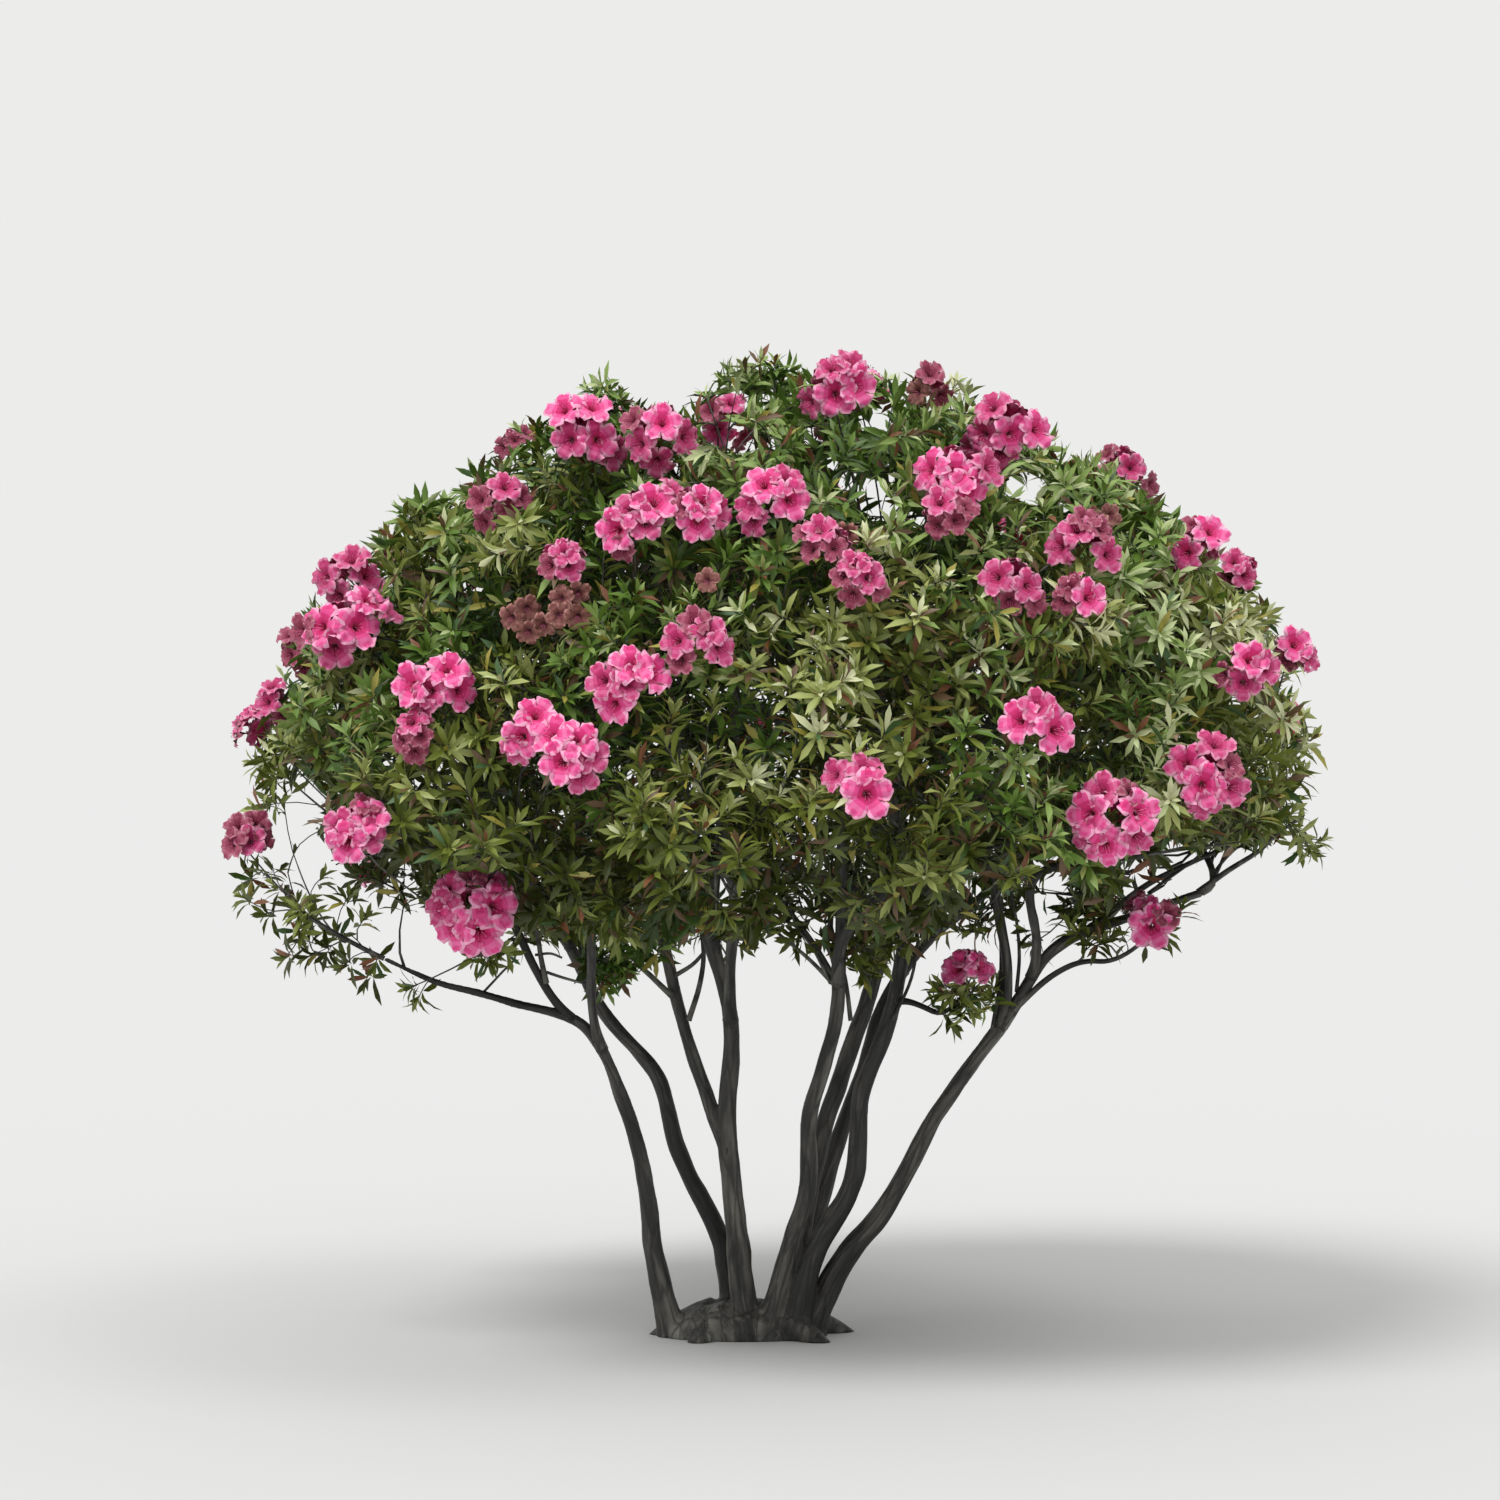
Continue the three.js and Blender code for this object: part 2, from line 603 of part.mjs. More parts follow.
// A stem runs on to its mass's entry where that is further out than its own last bend.
for (const [name, { radius, feeds, bends, parent: parentName, height }] of Object.entries(stems)) {
  const mass = massNamed(feeds);
  const points = bends.map((place) => vector(...place));
  const parent = limbNamed(parentName);
  if (parent) points.unshift(parent.curve.getPointAt(parent.shareAtHeight(height)));
  const last = points.at(-1);
  if (mass.entry && last.distanceTo(focus) < mass.entry.distanceTo(focus)) points.push(mass.entry);
  else mass.entry = last;
  const stemLength = mass.hub.distanceTo(mass.entry);
  mass.hub.addScaledVector(mass.outward, Math.max(0, shortestStem - stemLength));
  addLimb(name, new THREE.CatmullRomCurve3(points, false, "centripetal"), radius, stemFaces, mass, parent);
}

for (const mass of masses) {
  if (!mass.from) continue;
  const [stemName, height] = mass.from;
  const parent = limbNamed(stemName);
  const share = parent.shareAtHeight(height);
  const foot = parent.curve.getPointAt(share);
  const handle = 0.35 * foot.distanceTo(mass.entry);
  const straight = mass.entry.clone().sub(foot).normalize();
  const start = parent.curve.getTangentAt(share).multiplyScalar(0.7).add(straight).normalize();
  const curve = new THREE.CubicBezierCurve3(
    foot,
    foot.clone().addScaledVector(start, handle),
    mass.entry.clone().addScaledVector(mass.outward, -handle),
    mass.entry,
  );
  const [thick, thin] = mass.reach ? bough.sprayRadius : bough.radius;
  const radius = [Math.min(thick, bough.parentShare * parent.radiusAt(share)), thin];
  addLimb(`bough_${mass.name.replace("mass_", "")}`, curve, radius, boughFaces, mass, parent);
}

const plant = new THREE.Group();
const feet = [];
for (const limb of limbs.filter((one) => !one.parent)) {
  limb.from = limb.shareAtHeight(rootCrown.seatHeight);
  feet.push(limb.stretch(0, limb.from, limb.step));
}
plant.add(meshOf("root_crown", rootCrownSolid(feet), bark));
for (const limb of limbs) {
  const start = limb.from + jointGap / limb.length;
  const solid = fused([limb.stretch(start, 1, limb.step), ...limb.collars]);
  plant.add(meshOf(limb.name, solid, bark));
}
masses.forEach((mass, seed) => plant.add(meshOf(mass.name, growMass(mass, seed), foliage)));

export default plant;
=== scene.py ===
import json
import math

import bmesh
import bpy
import numpy as np
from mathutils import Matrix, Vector, kdtree, noise

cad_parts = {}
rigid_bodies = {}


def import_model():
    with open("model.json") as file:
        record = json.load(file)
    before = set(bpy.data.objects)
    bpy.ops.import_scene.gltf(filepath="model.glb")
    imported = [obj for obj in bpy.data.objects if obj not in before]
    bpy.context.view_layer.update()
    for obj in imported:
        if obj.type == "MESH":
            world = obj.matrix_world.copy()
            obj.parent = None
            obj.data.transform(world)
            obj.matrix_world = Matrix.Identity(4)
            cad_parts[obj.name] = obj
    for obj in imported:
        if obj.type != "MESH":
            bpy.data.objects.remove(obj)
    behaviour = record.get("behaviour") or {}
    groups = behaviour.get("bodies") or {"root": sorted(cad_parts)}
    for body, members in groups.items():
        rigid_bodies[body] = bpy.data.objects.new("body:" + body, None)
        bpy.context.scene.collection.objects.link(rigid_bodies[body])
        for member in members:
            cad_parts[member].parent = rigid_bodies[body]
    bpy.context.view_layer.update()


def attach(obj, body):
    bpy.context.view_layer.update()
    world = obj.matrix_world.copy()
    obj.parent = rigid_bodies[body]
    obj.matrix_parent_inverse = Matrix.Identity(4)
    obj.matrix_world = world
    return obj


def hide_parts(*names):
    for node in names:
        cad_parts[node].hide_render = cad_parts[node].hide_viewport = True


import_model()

mm = 0.001  # the plant is planned in millimetres, Blender works in metres
goldenTurn = 137.5  # degrees from one leaf or tip to the next
noise.seed_set(3)  # unseeded, its vector noise changes with the clock


# Small helpers for places and directions

def place(*numbers):
    return np.array(numbers, dtype=float)


def unit(arrows):
    return arrows / np.maximum(np.linalg.norm(arrows, axis=-1, keepdims=True), 1e-9)


def lerp(start, end, share):
    return start + (end - start) * share


def seededRandom(seed):
    # the same small generator as the solids use, so that blossom falls in the same places
    whole = 2 ** 32
    state = (seed + 1) * 2654435761 % whole

    def draw():
        nonlocal state
        state = (state * 1664525 + 1013904223) % whole
        return state / whole
    return draw


def sideways(axis):
    first = place(-axis[1], axis[0], 0) if abs(axis[2]) < 0.9 else place(1, 0, 0)
    first = unit(first - axis * (first @ axis))
    return first, np.cross(axis, first)


def heading(elevation, turn):
    lift, turn = math.radians(elevation), math.radians(turn)
    return place(math.cos(lift) * math.cos(turn), math.cos(lift) * math.sin(turn), math.sin(lift))


def bezier(points, count):
    t = np.linspace(0, 1, count)[:, None]
    rows = [np.array(point)[None] for point in points]
    while len(rows) > 1:
        rows = [a * (1 - t) + b * t for a, b in zip(rows, rows[1:])]
    return rows[0]


def throughPoints(points, perSpan=40):
    # a centripetal curve through the points
    points = [place(*p) for p in points]
    ends = [2 * points[0] - points[1]] + points + [2 * points[-1] - points[-2]]
    made = []
    t = np.linspace(0, 1, perSpan, endpoint=False)[:, None]
    for before, start, end, after in zip(ends, ends[1:], ends[2:], ends[3:]):
        a, b, c = (math.sqrt(np.linalg.norm(q - p)) for p, q in
                   ((before, start), (start, end), (end, after)))
        leave = ((start - before) / a - (end - before) / (a + b) + (end - start) / b) * b
        arrive = ((end - start) / b - (after - start) / (b + c) + (after - end) / c) * b
        made.append(start + leave * t + (3 * (end - start) - 2 * leave - arrive) * t ** 2
                    + (2 * (start - end) + leave + arrive) * t ** 3)
    return np.concatenate(made + [points[-1][None]])


def runAlong(line):
    # how far along a line each of its points lies
    return np.concatenate([[0], np.cumsum(np.linalg.norm(np.diff(line, axis=0), axis=1))])


def treeOf(points):
    # finds the nearest of many points
    tree = kdtree.KDTree(len(points))
    for k, spot in enumerate(points):
        tree.insert(Vector(spot), k)
    tree.balance()
    return tree


# The plant's plan, by the rule that the solids follow

crown = dict(width=1556, depth=1400, top=1380, widest=700, bottom=548, middleX=9, lean=34)
focus = place(crown["middleX"], 0, 600)
viewer = place(-21, -5000, 819)

plan = dict(
    boughEnd=dict(rim=0.6, middle=0.55, upper=0.5, top=0.5),  # share of the way to the outline
    hubStep=0.17, shortestStem=70, limbClearance=2.5, stationStep=8, taper=0.8,
    boughRadius=(8.5, 5.6), sprayRadius=(4.4, 3.6), parentShare=0.8,
    boughHandle=0.35, parentWay=0.7,  # how a bough bends away from its stem
    twigFoot=2.8, firstFork=0.18, lastFork=0.96, stemTip=4.6, stemStart=0.3, stemBend=0.4,
    spacing=88, room=14, spread=200, places=60, nearest=0.84, furthest=0.92, tipRise=0.25,
    leafyTips=[5, 4, 4, 4, 3], trussSeat=0.18, trussMeasure=0.965, trussRise=0.35, trussTouch=6,
    backCount=15, backLift=(4, 76), backRadius=(40, 56), backApart=55, behind=60,
    sightStep=4, boughPoints=80, stemPoints=60,
    dullEvery=5, openBack=(47, 54),  # at the back: one in so many is dull, these have leafy hearts
)

stems = {
    "stem_far_left": dict(radius=(16.5, 3.6), feeds="spray_left_low", bends=[
        (-130, -6, 0), (-156, -20, 125), (-166, -34, 217), (-197, -54, 336), (-250, -74, 438),
        (-350, -98, 474), (-450, -115, 502), (-520, -124, 534)]),
    "stem_left": dict(radius=(15.5, 7), feeds="mass_rim_6", bends=[
        (-40, 20, 0), (-62, 26, 126), (-123, 42, 254), (-152, 56, 356), (-226, 80, 442),
        (-290, 104, 553)]),
    "stem_middle": dict(radius=(18, 6.5), feeds="mass_middle_6", bends=[
        (-24, -16, 0), (-38, -28, 130), (-52, -48, 290), (-48, -76, 450), (-88, -128, 610)]),
    "stem_middle_left": dict(
        radius=(11, 6), feeds="mass_middle_5", parent="stem_middle", height=264, bends=[
            (-71, -42, 312), (-91, -32, 366), (-121, -22, 462), (-140, -20, 540),
            (-164, -30, 610)]),
    "stem_right_front": dict(radius=(16, 6.5), feeds="mass_rim_10", bends=[
        (2, -24, 0), (36, -36, 132), (58, -50, 212), (61, -64, 312), (83, -84, 392),
        (98, -108, 462), (104, -160, 560)]),
    "stem_leader": dict(radius=(17, 7), feeds="mass_top", bends=[
        (18, 4, 0), (44, 8, 110), (68, 10, 236), (105, 10, 357), (144, 13, 468),
        (175, 16, 590), (146, 12, 750), (48, 4, 930)]),
    "stem_right_back": dict(radius=(16, 6.5), feeds="mass_rim_2", bends=[
        (28, 34, 0), (56, 43, 105), (97, 54, 246), (137, 66, 357), (170, 82, 458),
        (231, 138, 541), (318, 190, 608)]),
    "stem_right": dict(radius=(17, 7), feeds="mass_upper_5", bends=[
        (38, -30, 0), (66, -34, 112), (122, -38, 222), (133, -42, 338), (172, -46, 446),
        (196, -60, 620), (160, -86, 830)]),
    "stem_far_right": dict(radius=(18, 5.4), feeds="mass_rim_1", bends=[
        (58, -4, 0), (104, -14, 100), (167, -24, 181), (243, -38, 320), (338, -56, 454),
        (398, -64, 543), (504, -66, 588), (604, -60, 622)]),
}

tiers = [
    dict(name="rim", elevation=8, firstTurn=0, sources=[
        None, None, ("stem_right_back", 497), ("stem_leader", 560), ("stem_left", 490), None,
        ("stem_far_left", 446), ("stem_far_left", 400), ("stem_middle", 444), None,
        ("stem_far_right", 500)]),
    dict(name="middle", elevation=38, firstTurn=22, sources=[
        ("stem_right_back", 548), ("stem_leader", 610), ("stem_leader", 660),
        ("stem_left", 530), None, None, ("stem_right_front", 500), ("stem_far_right", 432)]),
    dict(name="upper", elevation=64, firstTurn=36, sources=[
        ("stem_leader", 710), ("stem_leader", 770), ("stem_middle_left", 560),
        ("stem_middle", 540), None]),
    dict(name="top", elevation=90, firstTurn=0, sources=[None]),
]

sprays = [
    dict(name="spray_left_low", middle=(-640, -110, 600), reach=(150, 120, 120), leafyTips=6,
         leafScale=0.62, source=None, entry=None),
    dict(name="spray_right_low", middle=(520, -110, 560), reach=(95, 80, 70), leafyTips=3,
         leafScale=0.6, source=("stem_far_right", 452), entry=(458, -84, 528)),
    dict(name="sprig_inner_right", middle=(272, -84, 482), reach=(66, 60, 60), leafyTips=3,
         leafScale=0.6, source=("stem_right", 462), entry=(232, -72, 458)),
]

# Trusses as the viewer sees them: across, up and half width
frontTrusses = [
    (98, 1330, 50), (-258, 1266, 58), (-148, 1264, 52), (336, 1274, 56), (266, 1204, 54),
    (252, 1146, 40), (-374, 1168, 46), (-174, 1140, 56), (-98, 1154, 42), (8, 1168, 50),
    (-280, 1084, 38), (90, 1098, 48), (132, 1060, 44), (-588, 1064, 46), (-594, 990, 58),
    (-650, 958, 38), (-700, 886, 34), (-736, 852, 30), (-458, 910, 50), (-488, 842, 34),
    (-196, 910, 50), (-98, 966, 52), (-322, 846, 42), (-272, 812, 48), (-570, 704, 48),
    (-416, 592, 58), (142, 760, 46), (384, 858, 50), (448, 1106, 50), (434, 1036, 38),
    (342, 1056, 46), (608, 1106, 42), (664, 1070, 34), (672, 930, 44), (744, 958, 40),
    (488, 724, 54), (618, 784, 54),
]
behindTrusses = [(228, 1330, 36), (-60, 1288, 40), (512, 1218, 44), (-350, 1246, 30)]
sprayTrusses = [
    ("spray_left_low", (-718, -100, 690), 42), ("spray_right_low", (540, -120, 582), 40),
    ("sprig_inner_right", (284, -88, 505), 28),
]

# Each truss's flowers as the viewer sees them: across, up, tone level (0 bright; 1 and 2 darker,
# partly older and partly painted shade; 3 spent and brown), and in a few cases how much larger they are
# than the rest
shownFlowers = {
    0: [(94, 1352, 1), (99, 1317, 0), (64, 1306, 1), (127, 1329, 0), (119, 1359, 1)],
    1: [(-272, 1253, 1), (-281, 1295, 0), (-242, 1298, 0), (-234, 1253, 0), (-214, 1236, 1)],
    2: [(-174, 1247, 1), (-144, 1277, 0), (-113, 1257, 1), (-151, 1224, 1), (-185, 1281, 2)],
    3: [(307, 1261, 1), (344, 1261, 0), (379, 1267, 0), (319, 1298, 1), (290, 1239, 1), (329, 1236, 1)],
    4: [(231, 1211, 0), (269, 1205, 0), (312, 1214, 1), (283, 1184, 0), (245, 1183, 1)],
    5: [(245, 1165, 1), (267, 1141, 2), (242, 1133, 2), (281, 1158, 2)],
    6: [(-364, 1187, 1), (-398, 1169, 2), (-360, 1156, 2), (-392, 1138, 2), (-340, 1172, 2)],
    7: [(-207, 1127, 0), (-188, 1154, 1), (-155, 1165, 0),
        (-127, 1182, 1), (-168, 1137, 1), (-200, 1103, 2)],
    8: [(-87, 1165, 0), (-95, 1138, 0), (-69, 1152, 1), (-113, 1161, 2)],
    9: [(-1, 1190, 0), (-20, 1163, 1), (34, 1169, 0), (32, 1196, 1), (-17, 1141, 1)],
    10: [(-280, 1095, 1), (-274, 1077, 1), (-300, 1077, 2)],
    11: [(77, 1126, 1), (97, 1102, 2), (57, 1124, 2), (66, 1100, 2)],
    12: [(126, 1079, 1), (144, 1061, 1), (109, 1063, 2), (123, 1037, 2), (157, 1046, 2)],
    13: [(-614, 1060, 1, 1.15), (-578, 1084, 1, 1.15), (-558, 1062, 0), (-596, 1034, 1, 1.2)],
    14: [(-571, 992, 0, 1.15), (-620, 992, 0, 1.1), (-534, 1018, 1, 1.1),
        (-602, 962, 1, 1.15), (-647, 985, 2, 1.2), (-556, 1028, 0)],
    15: [(-664, 952, 2), (-643, 934, 2), (-666, 979, 2)],
    16: [(-696, 886, 1), (-689, 907, 1), (-675, 867, 2)],
    17: [(-730, 858, 1, 1.3), (-714, 872, 1, 1.2), (-738, 842, 2, 1.3)],
    18: [(-493, 910, 0), (-444, 930, 0), (-428, 902, 0), (-468, 902, 1), (-479, 881, 1)],
    19: [(-494, 858, 1), (-482, 839, 2), (-508, 832, 2), (-490, 816, 2)],
    20: [(-225, 917, 1), (-186, 937, 0), (-211, 883, 0), (-161, 925, 0), (-193, 913, 1)],
    21: [(-122, 972, 1), (-81, 984, 1), (-64, 963, 1), (-118, 945, 2), (-99, 998, 2)],
    22: [(-340, 837, 0), (-321, 867, 0), (-349, 819, 1)],
    23: [(-298, 839, 0), (-284, 802, 0), (-245, 812, 1), (-259, 785, 1), (-265, 832, 0)],
    24: [(-554, 725, 0), (-585, 690, 0), (-556, 700, 1), (-595, 712, 1), (-560, 742, 2)],
    25: [(-410, 641, 2), (-450, 598, 1, 1.1), (-434, 570, 0, 1.1), (-380, 600, 0, 1.15),
        (-382, 632, 1), (-399, 565, 0, 1.15), (-444, 626, 1)],
    26: [(143, 757, 0, 1.22), (99, 784, 1), (141, 791, 1)],
    27: [(406, 847, 0, 1.08), (357, 860, 0), (381, 879, 1)],
    28: [(437, 1127, 1), (414, 1103, 1), (469, 1128, 2), (479, 1092, 1), (449, 1142, 2)],
    29: [(452, 1032, 0), (420, 1028, 2), (427, 1046, 2)],
    30: [(325, 1061, 1), (367, 1049, 1), (379, 1026, 2), (342, 1028, 2)],
    31: [(591, 1095, 0), (623, 1124, 0), (570, 1077, 2), (601, 1133, 2)],
    32: [(657, 1082, 1), (671, 1063, 1), (648, 1060, 2)],
    33: [(678, 945, 0), (669, 913, 1), (643, 924, 2), (699, 934, 1)],
    34: [(741, 966, 0), (760, 948, 1), (729, 946, 2)],
    35: [(473, 762, 1), (455, 729, 0), (454, 700, 1), (477, 685, 0),
        (522, 732, 0), (519, 699, 1), (512, 759, 2)],
    36: [(589, 801, 0), (613, 770, 0), (652, 767, 1), (630, 826, 1), (651, 798, 2), (617, 743, 1)],
    37: [(231, 1345, 2, 1.2), (214, 1320, 3, 1.3), (245, 1315, 2, 1.1)],
    38: [(-76, 1294, 2, 1.3), (-48, 1304, 1), (-34, 1258, 0), (-66, 1265, 0)],
    39: [(512, 1214, 1), (539, 1191, 2), (480, 1232, 2)],
    40: [(-350, 1253, 2), (-367, 1242, 2), (-336, 1263, 2)],
    41: [(-738, 712, 2, 1.2), (-712, 718, 2, 1.2), (-744, 688, 2, 1.2), (-720, 692, 1), (-704, 696, 2)],
    42: [(518, 604, 2, 1.2), (541, 572, 0, 1.2), (562, 588, 2, 1.1), (534, 594, 1)],
    43: [(270, 513, 0, 1.2), (300, 515, 0, 1.1), (284, 526, 1, 1.2)],
}
leafyHearts = {9: (10, 1150), 25: (-419, 618), 28: (438, 1072), 35: (496, 721)}  # in rings of flowers

# Single flowers gone brown among the leaves
fadedFlowers = [
    (-368, 1020), (-322, 1010), (-296, 1048), (-272, 1022), (-84, 1074),
    (472, 1162), (486, 1150), (119, 1140), (-505, 905), (-552, 1110),
    (-346, 1034), (-300, 1024), (-344, 1000), (-272, 1056), (498, 1166),
]


class Limb:
    # a tapering limb along a line of closely set points
    def __init__(self, name, line, radius, parent=None):
        self.name, self.line, self.radius, self.parent = name, line, radius, parent
        self.run = runAlong(line)
        self.length = self.run[-1]
        self.stations = math.ceil(self.length / plan["stationStep"])
        shares = np.linspace(0, 1, self.stations + 1)
        self.points = self.at(shares)
        self.radii = self.radiusAt(shares)

    def at(self, share):
        along = np.asarray(share) * self.length
        return np.stack([np.interp(along, self.run, self.line[:, k]) for k in range(3)], axis=-1)

    def tangentAt(self, share):
        ends = self.at([max(share - 0.004, 0), min(share + 0.004, 1)])
        return unit(ends[1] - ends[0])

    def radiusAt(self, share):
        return lerp(*self.radius, np.power(share, plan["taper"]))

    def shareAtHeight(self, height):
        return int(np.argmax(self.points[:, 2] >= height)) / self.stations


def crownMeasure(points):
    # 1 on the crown's outline, less inside it
    x, y, z = np.moveaxis(np.asarray(points, dtype=float), -1, 0)
    half = np.where(z > crown["widest"], crown["top"] - crown["widest"],
                    crown["widest"] - crown["bottom"])
    rise = np.clip((z - crown["widest"]) / half, 0, 1)
    lean = crown["lean"] * np.sin(np.pi * rise)
    return np.sqrt(((x - crown["middleX"] - lean) / (crown["width"] / 2)) ** 2
                   + (y / (crown["depth"] / 2)) ** 2 + ((z - crown["widest"]) / half) ** 2)


def crownPoint(outward, measure):
    outward = np.asarray(outward, dtype=float)
    near = np.zeros(outward.shape[:-1] + (1,))
    far = near + crown["width"]
    for _ in range(40):
        middle = (near + far) / 2
        reached = (crownMeasure(focus + outward * middle) > measure)[..., None]
        far = np.where(reached, middle, far)
        near = np.where(reached, near, middle)
    return focus + outward * far


def planMasses():
    planned = []
    for tier in tiers:
        count = len(tier["sources"])
        for i, source in enumerate(tier["sources"]):
            outward = heading(tier["elevation"], tier["firstTurn"] + 360 * i / count)
            edge = crownPoint(outward, 1)
            share = plan["boughEnd"][tier["name"]]
            planned.append(dict(
                name=f"mass_{tier['name']}_{i + 1}" if count > 1 else f"mass_{tier['name']}",
                tier=tier["name"], source=source, outward=outward, leafScale=1, reach=None,
                entry=lerp(focus, edge, share), hub=lerp(focus, edge, share + plan["hubStep"])))
    for spray in sprays:
        hub = place(*spray["middle"])
        planned.append(dict(
            spray, tier="spray", hub=hub, outward=unit(hub - focus), reach=place(*spray["reach"]),
            entry=place(*spray["entry"]) if spray["entry"] else None))
    return planned


def inBall(mass, point, margin):
    return np.linalg.norm((point - mass["hub"]) / (mass["reach"] - margin)) < 1


def inSpace(mass, point, margin):
    away = np.linalg.norm(trussMiddles - point, axis=1)
    near = np.nonzero(away < trussRadii + margin)[0]
    if len(near):
        return trusses[near[0]]["mass"] is mass
    if mass["reach"] is not None:
        return inBall(mass, point, margin)
    if crownMeasure(point) > 1:
        return False
    own = np.sum((point - mass["hub"]) ** 2)
    for other in masses:
        if other is mass:
            continue
        if other["reach"] is not None:
            if inBall(other, point, -margin):
                return False
            continue
        apart = np.linalg.norm(other["hub"] - mass["hub"])
        if (np.sum((point - other["hub"]) ** 2) - own) / (2 * apart) <= margin:
            return False
    return True


def nearestDome(points):
    # the dome's mass whose hub is nearest to each point
    apart = np.linalg.norm(np.asarray(points)[..., None, :] - domeHubs, axis=-1)
    return np.argmin(apart, axis=-1)


def seenOnCrown(across, height, side):
    spot = place(across, 0, height)
    along = (spot - viewer) / -viewer[1]
    if crownMeasure(spot) >= plan["trussMeasure"]:
        middle = place(crown["middleX"], 0, crown["widest"])
        return middle + (spot - middle) * plan["trussMeasure"] / crownMeasure(spot)
    while crownMeasure(spot) < plan["trussMeasure"]:
        spot = spot + along * plan["sightStep"] * side
    return spot


def asSeen(points):
    # where points show on the upright plane through the plant's middle
    points = np.asarray(points, dtype=float)
    pull = (-viewer[1] / (points[..., 1] - viewer[1]))[..., None]
    return (viewer + (points - viewer) * pull)[..., [0, 2]]


def planTrusses():
    planned = []

    def add(middle, radius, mass=None):
        out = unit(place((middle[0] - crown["middleX"]) / crown["width"] ** 2,
                         middle[1] / crown["depth"] ** 2,
                         (middle[2] - crown["widest"]) / (2 * (crown["top"] - crown["widest"])) ** 2))
        axis = unit(out + place(0, 0, plan["trussRise"]))
        touched = [truss for truss in planned if near(truss, middle, radius, plan["trussTouch"])]
        bearer = mass or (touched[0]["mass"] if touched else masses[nearestDome(middle)])
        planned.append(dict(middle=middle, radius=radius, axis=axis, mass=bearer))

    def near(truss, middle, radius, margin):
        return np.linalg.norm(truss["middle"] - middle) < truss["radius"] + radius + margin

    for side, shown in ((-1, frontTrusses), (1, behindTrusses)):
        for across, height, radius in shown:
            add(seenOnCrown(across, height, side), radius)
    for name, middle, radius in sprayTrusses:
        add(place(*middle), radius, massNamed[name])
    random = seededRandom(7)
    wanted = len(planned) + plan["backCount"]
    i = 0
    while len(planned) < wanted:
        lift = plan["backLift"][0] + plan["backLift"][1] * random() ** 0.8
        radius = lerp(*plan["backRadius"], random())
        middle = crownPoint(heading(lift, goldenTurn * i % 180), plan["trussMeasure"])
        free = not any(near(truss, middle, radius, plan["backApart"]) for truss in planned)
        if free and middle[1] > plan["behind"]:
            add(middle, radius)
        i += 1
    return planned


def clearOfLimbs(points, halfWidth):
    # true for each point that stands clear of every stem and bough
    points = np.atleast_2d(points)
    apart = np.linalg.norm(points[:, None] - limbPoints[None], axis=2)
    return np.all(apart > limbRadii + halfWidth + plan["limbClearance"], axis=1)


def planTips(mass, random):
    # a mass's trusses first, then leafy tips on a spiral that fills its space
    planned = []
    for truss in trusses:
        if truss["mass"] is mass:
            seat = truss["middle"] - sideways(truss["axis"])[0] * plan["trussSeat"] * truss["radius"]
            planned.append(dict(place=seat, axis=truss["axis"], radius=truss["radius"]))
    right, over = sideways(mass["outward"])
    firstTurn = random() * 360
    spread = mass["reach"][0] if mass["reach"] is not None else plan["spread"]
    leafy = mass.get("leafyTips") or plan["leafyTips"][min(len(planned), 4)]
    wanted = len(planned) + leafy
    for k in range(plan["places"]):
        if len(planned) >= wanted:
            break
        turn = math.radians(firstTurn + goldenTurn * k)
        away = spread * math.sqrt((k + 0.4) / plan["places"])
        spot = mass["hub"] + right * math.cos(turn) * away + over * math.sin(turn) * away
        measure = lerp(plan["nearest"], plan["furthest"], random())
        if mass["reach"] is None:
            spot = crownPoint(unit(spot - focus), measure)
        free = all(np.linalg.norm(other["place"] - spot)
                   > plan["spacing"] * mass["leafScale"] + other["radius"] / 2 for other in planned)
        if free and inSpace(mass, spot, plan["room"]) and clearOfLimbs(spot, plan["room"])[0]:
            axis = unit(unit(spot - mass["entry"]) + place(0, 0, plan["tipRise"]))
            planned.append(dict(place=spot, axis=axis, radius=0))
    return planned


masses = planMasses()
massNamed = {mass["name"]: mass for mass in masses}
domeHubs = np.array([mass["hub"] for mass in masses if mass["reach"] is None])
trusses = planTrusses()
trussMiddles = np.array([truss["middle"] for truss in trusses])
trussRadii = np.array([truss["radius"] for truss in trusses], dtype=float)

for k, truss in enumerate(trusses):
    truss.update(flowers=shownFlowers.get(k), heart=leafyHearts.get(k),
                 dull=k % plan["dullEvery"] == 0, open=k in plan["openBack"],
                 backed=truss["mass"]["reach"] is None)

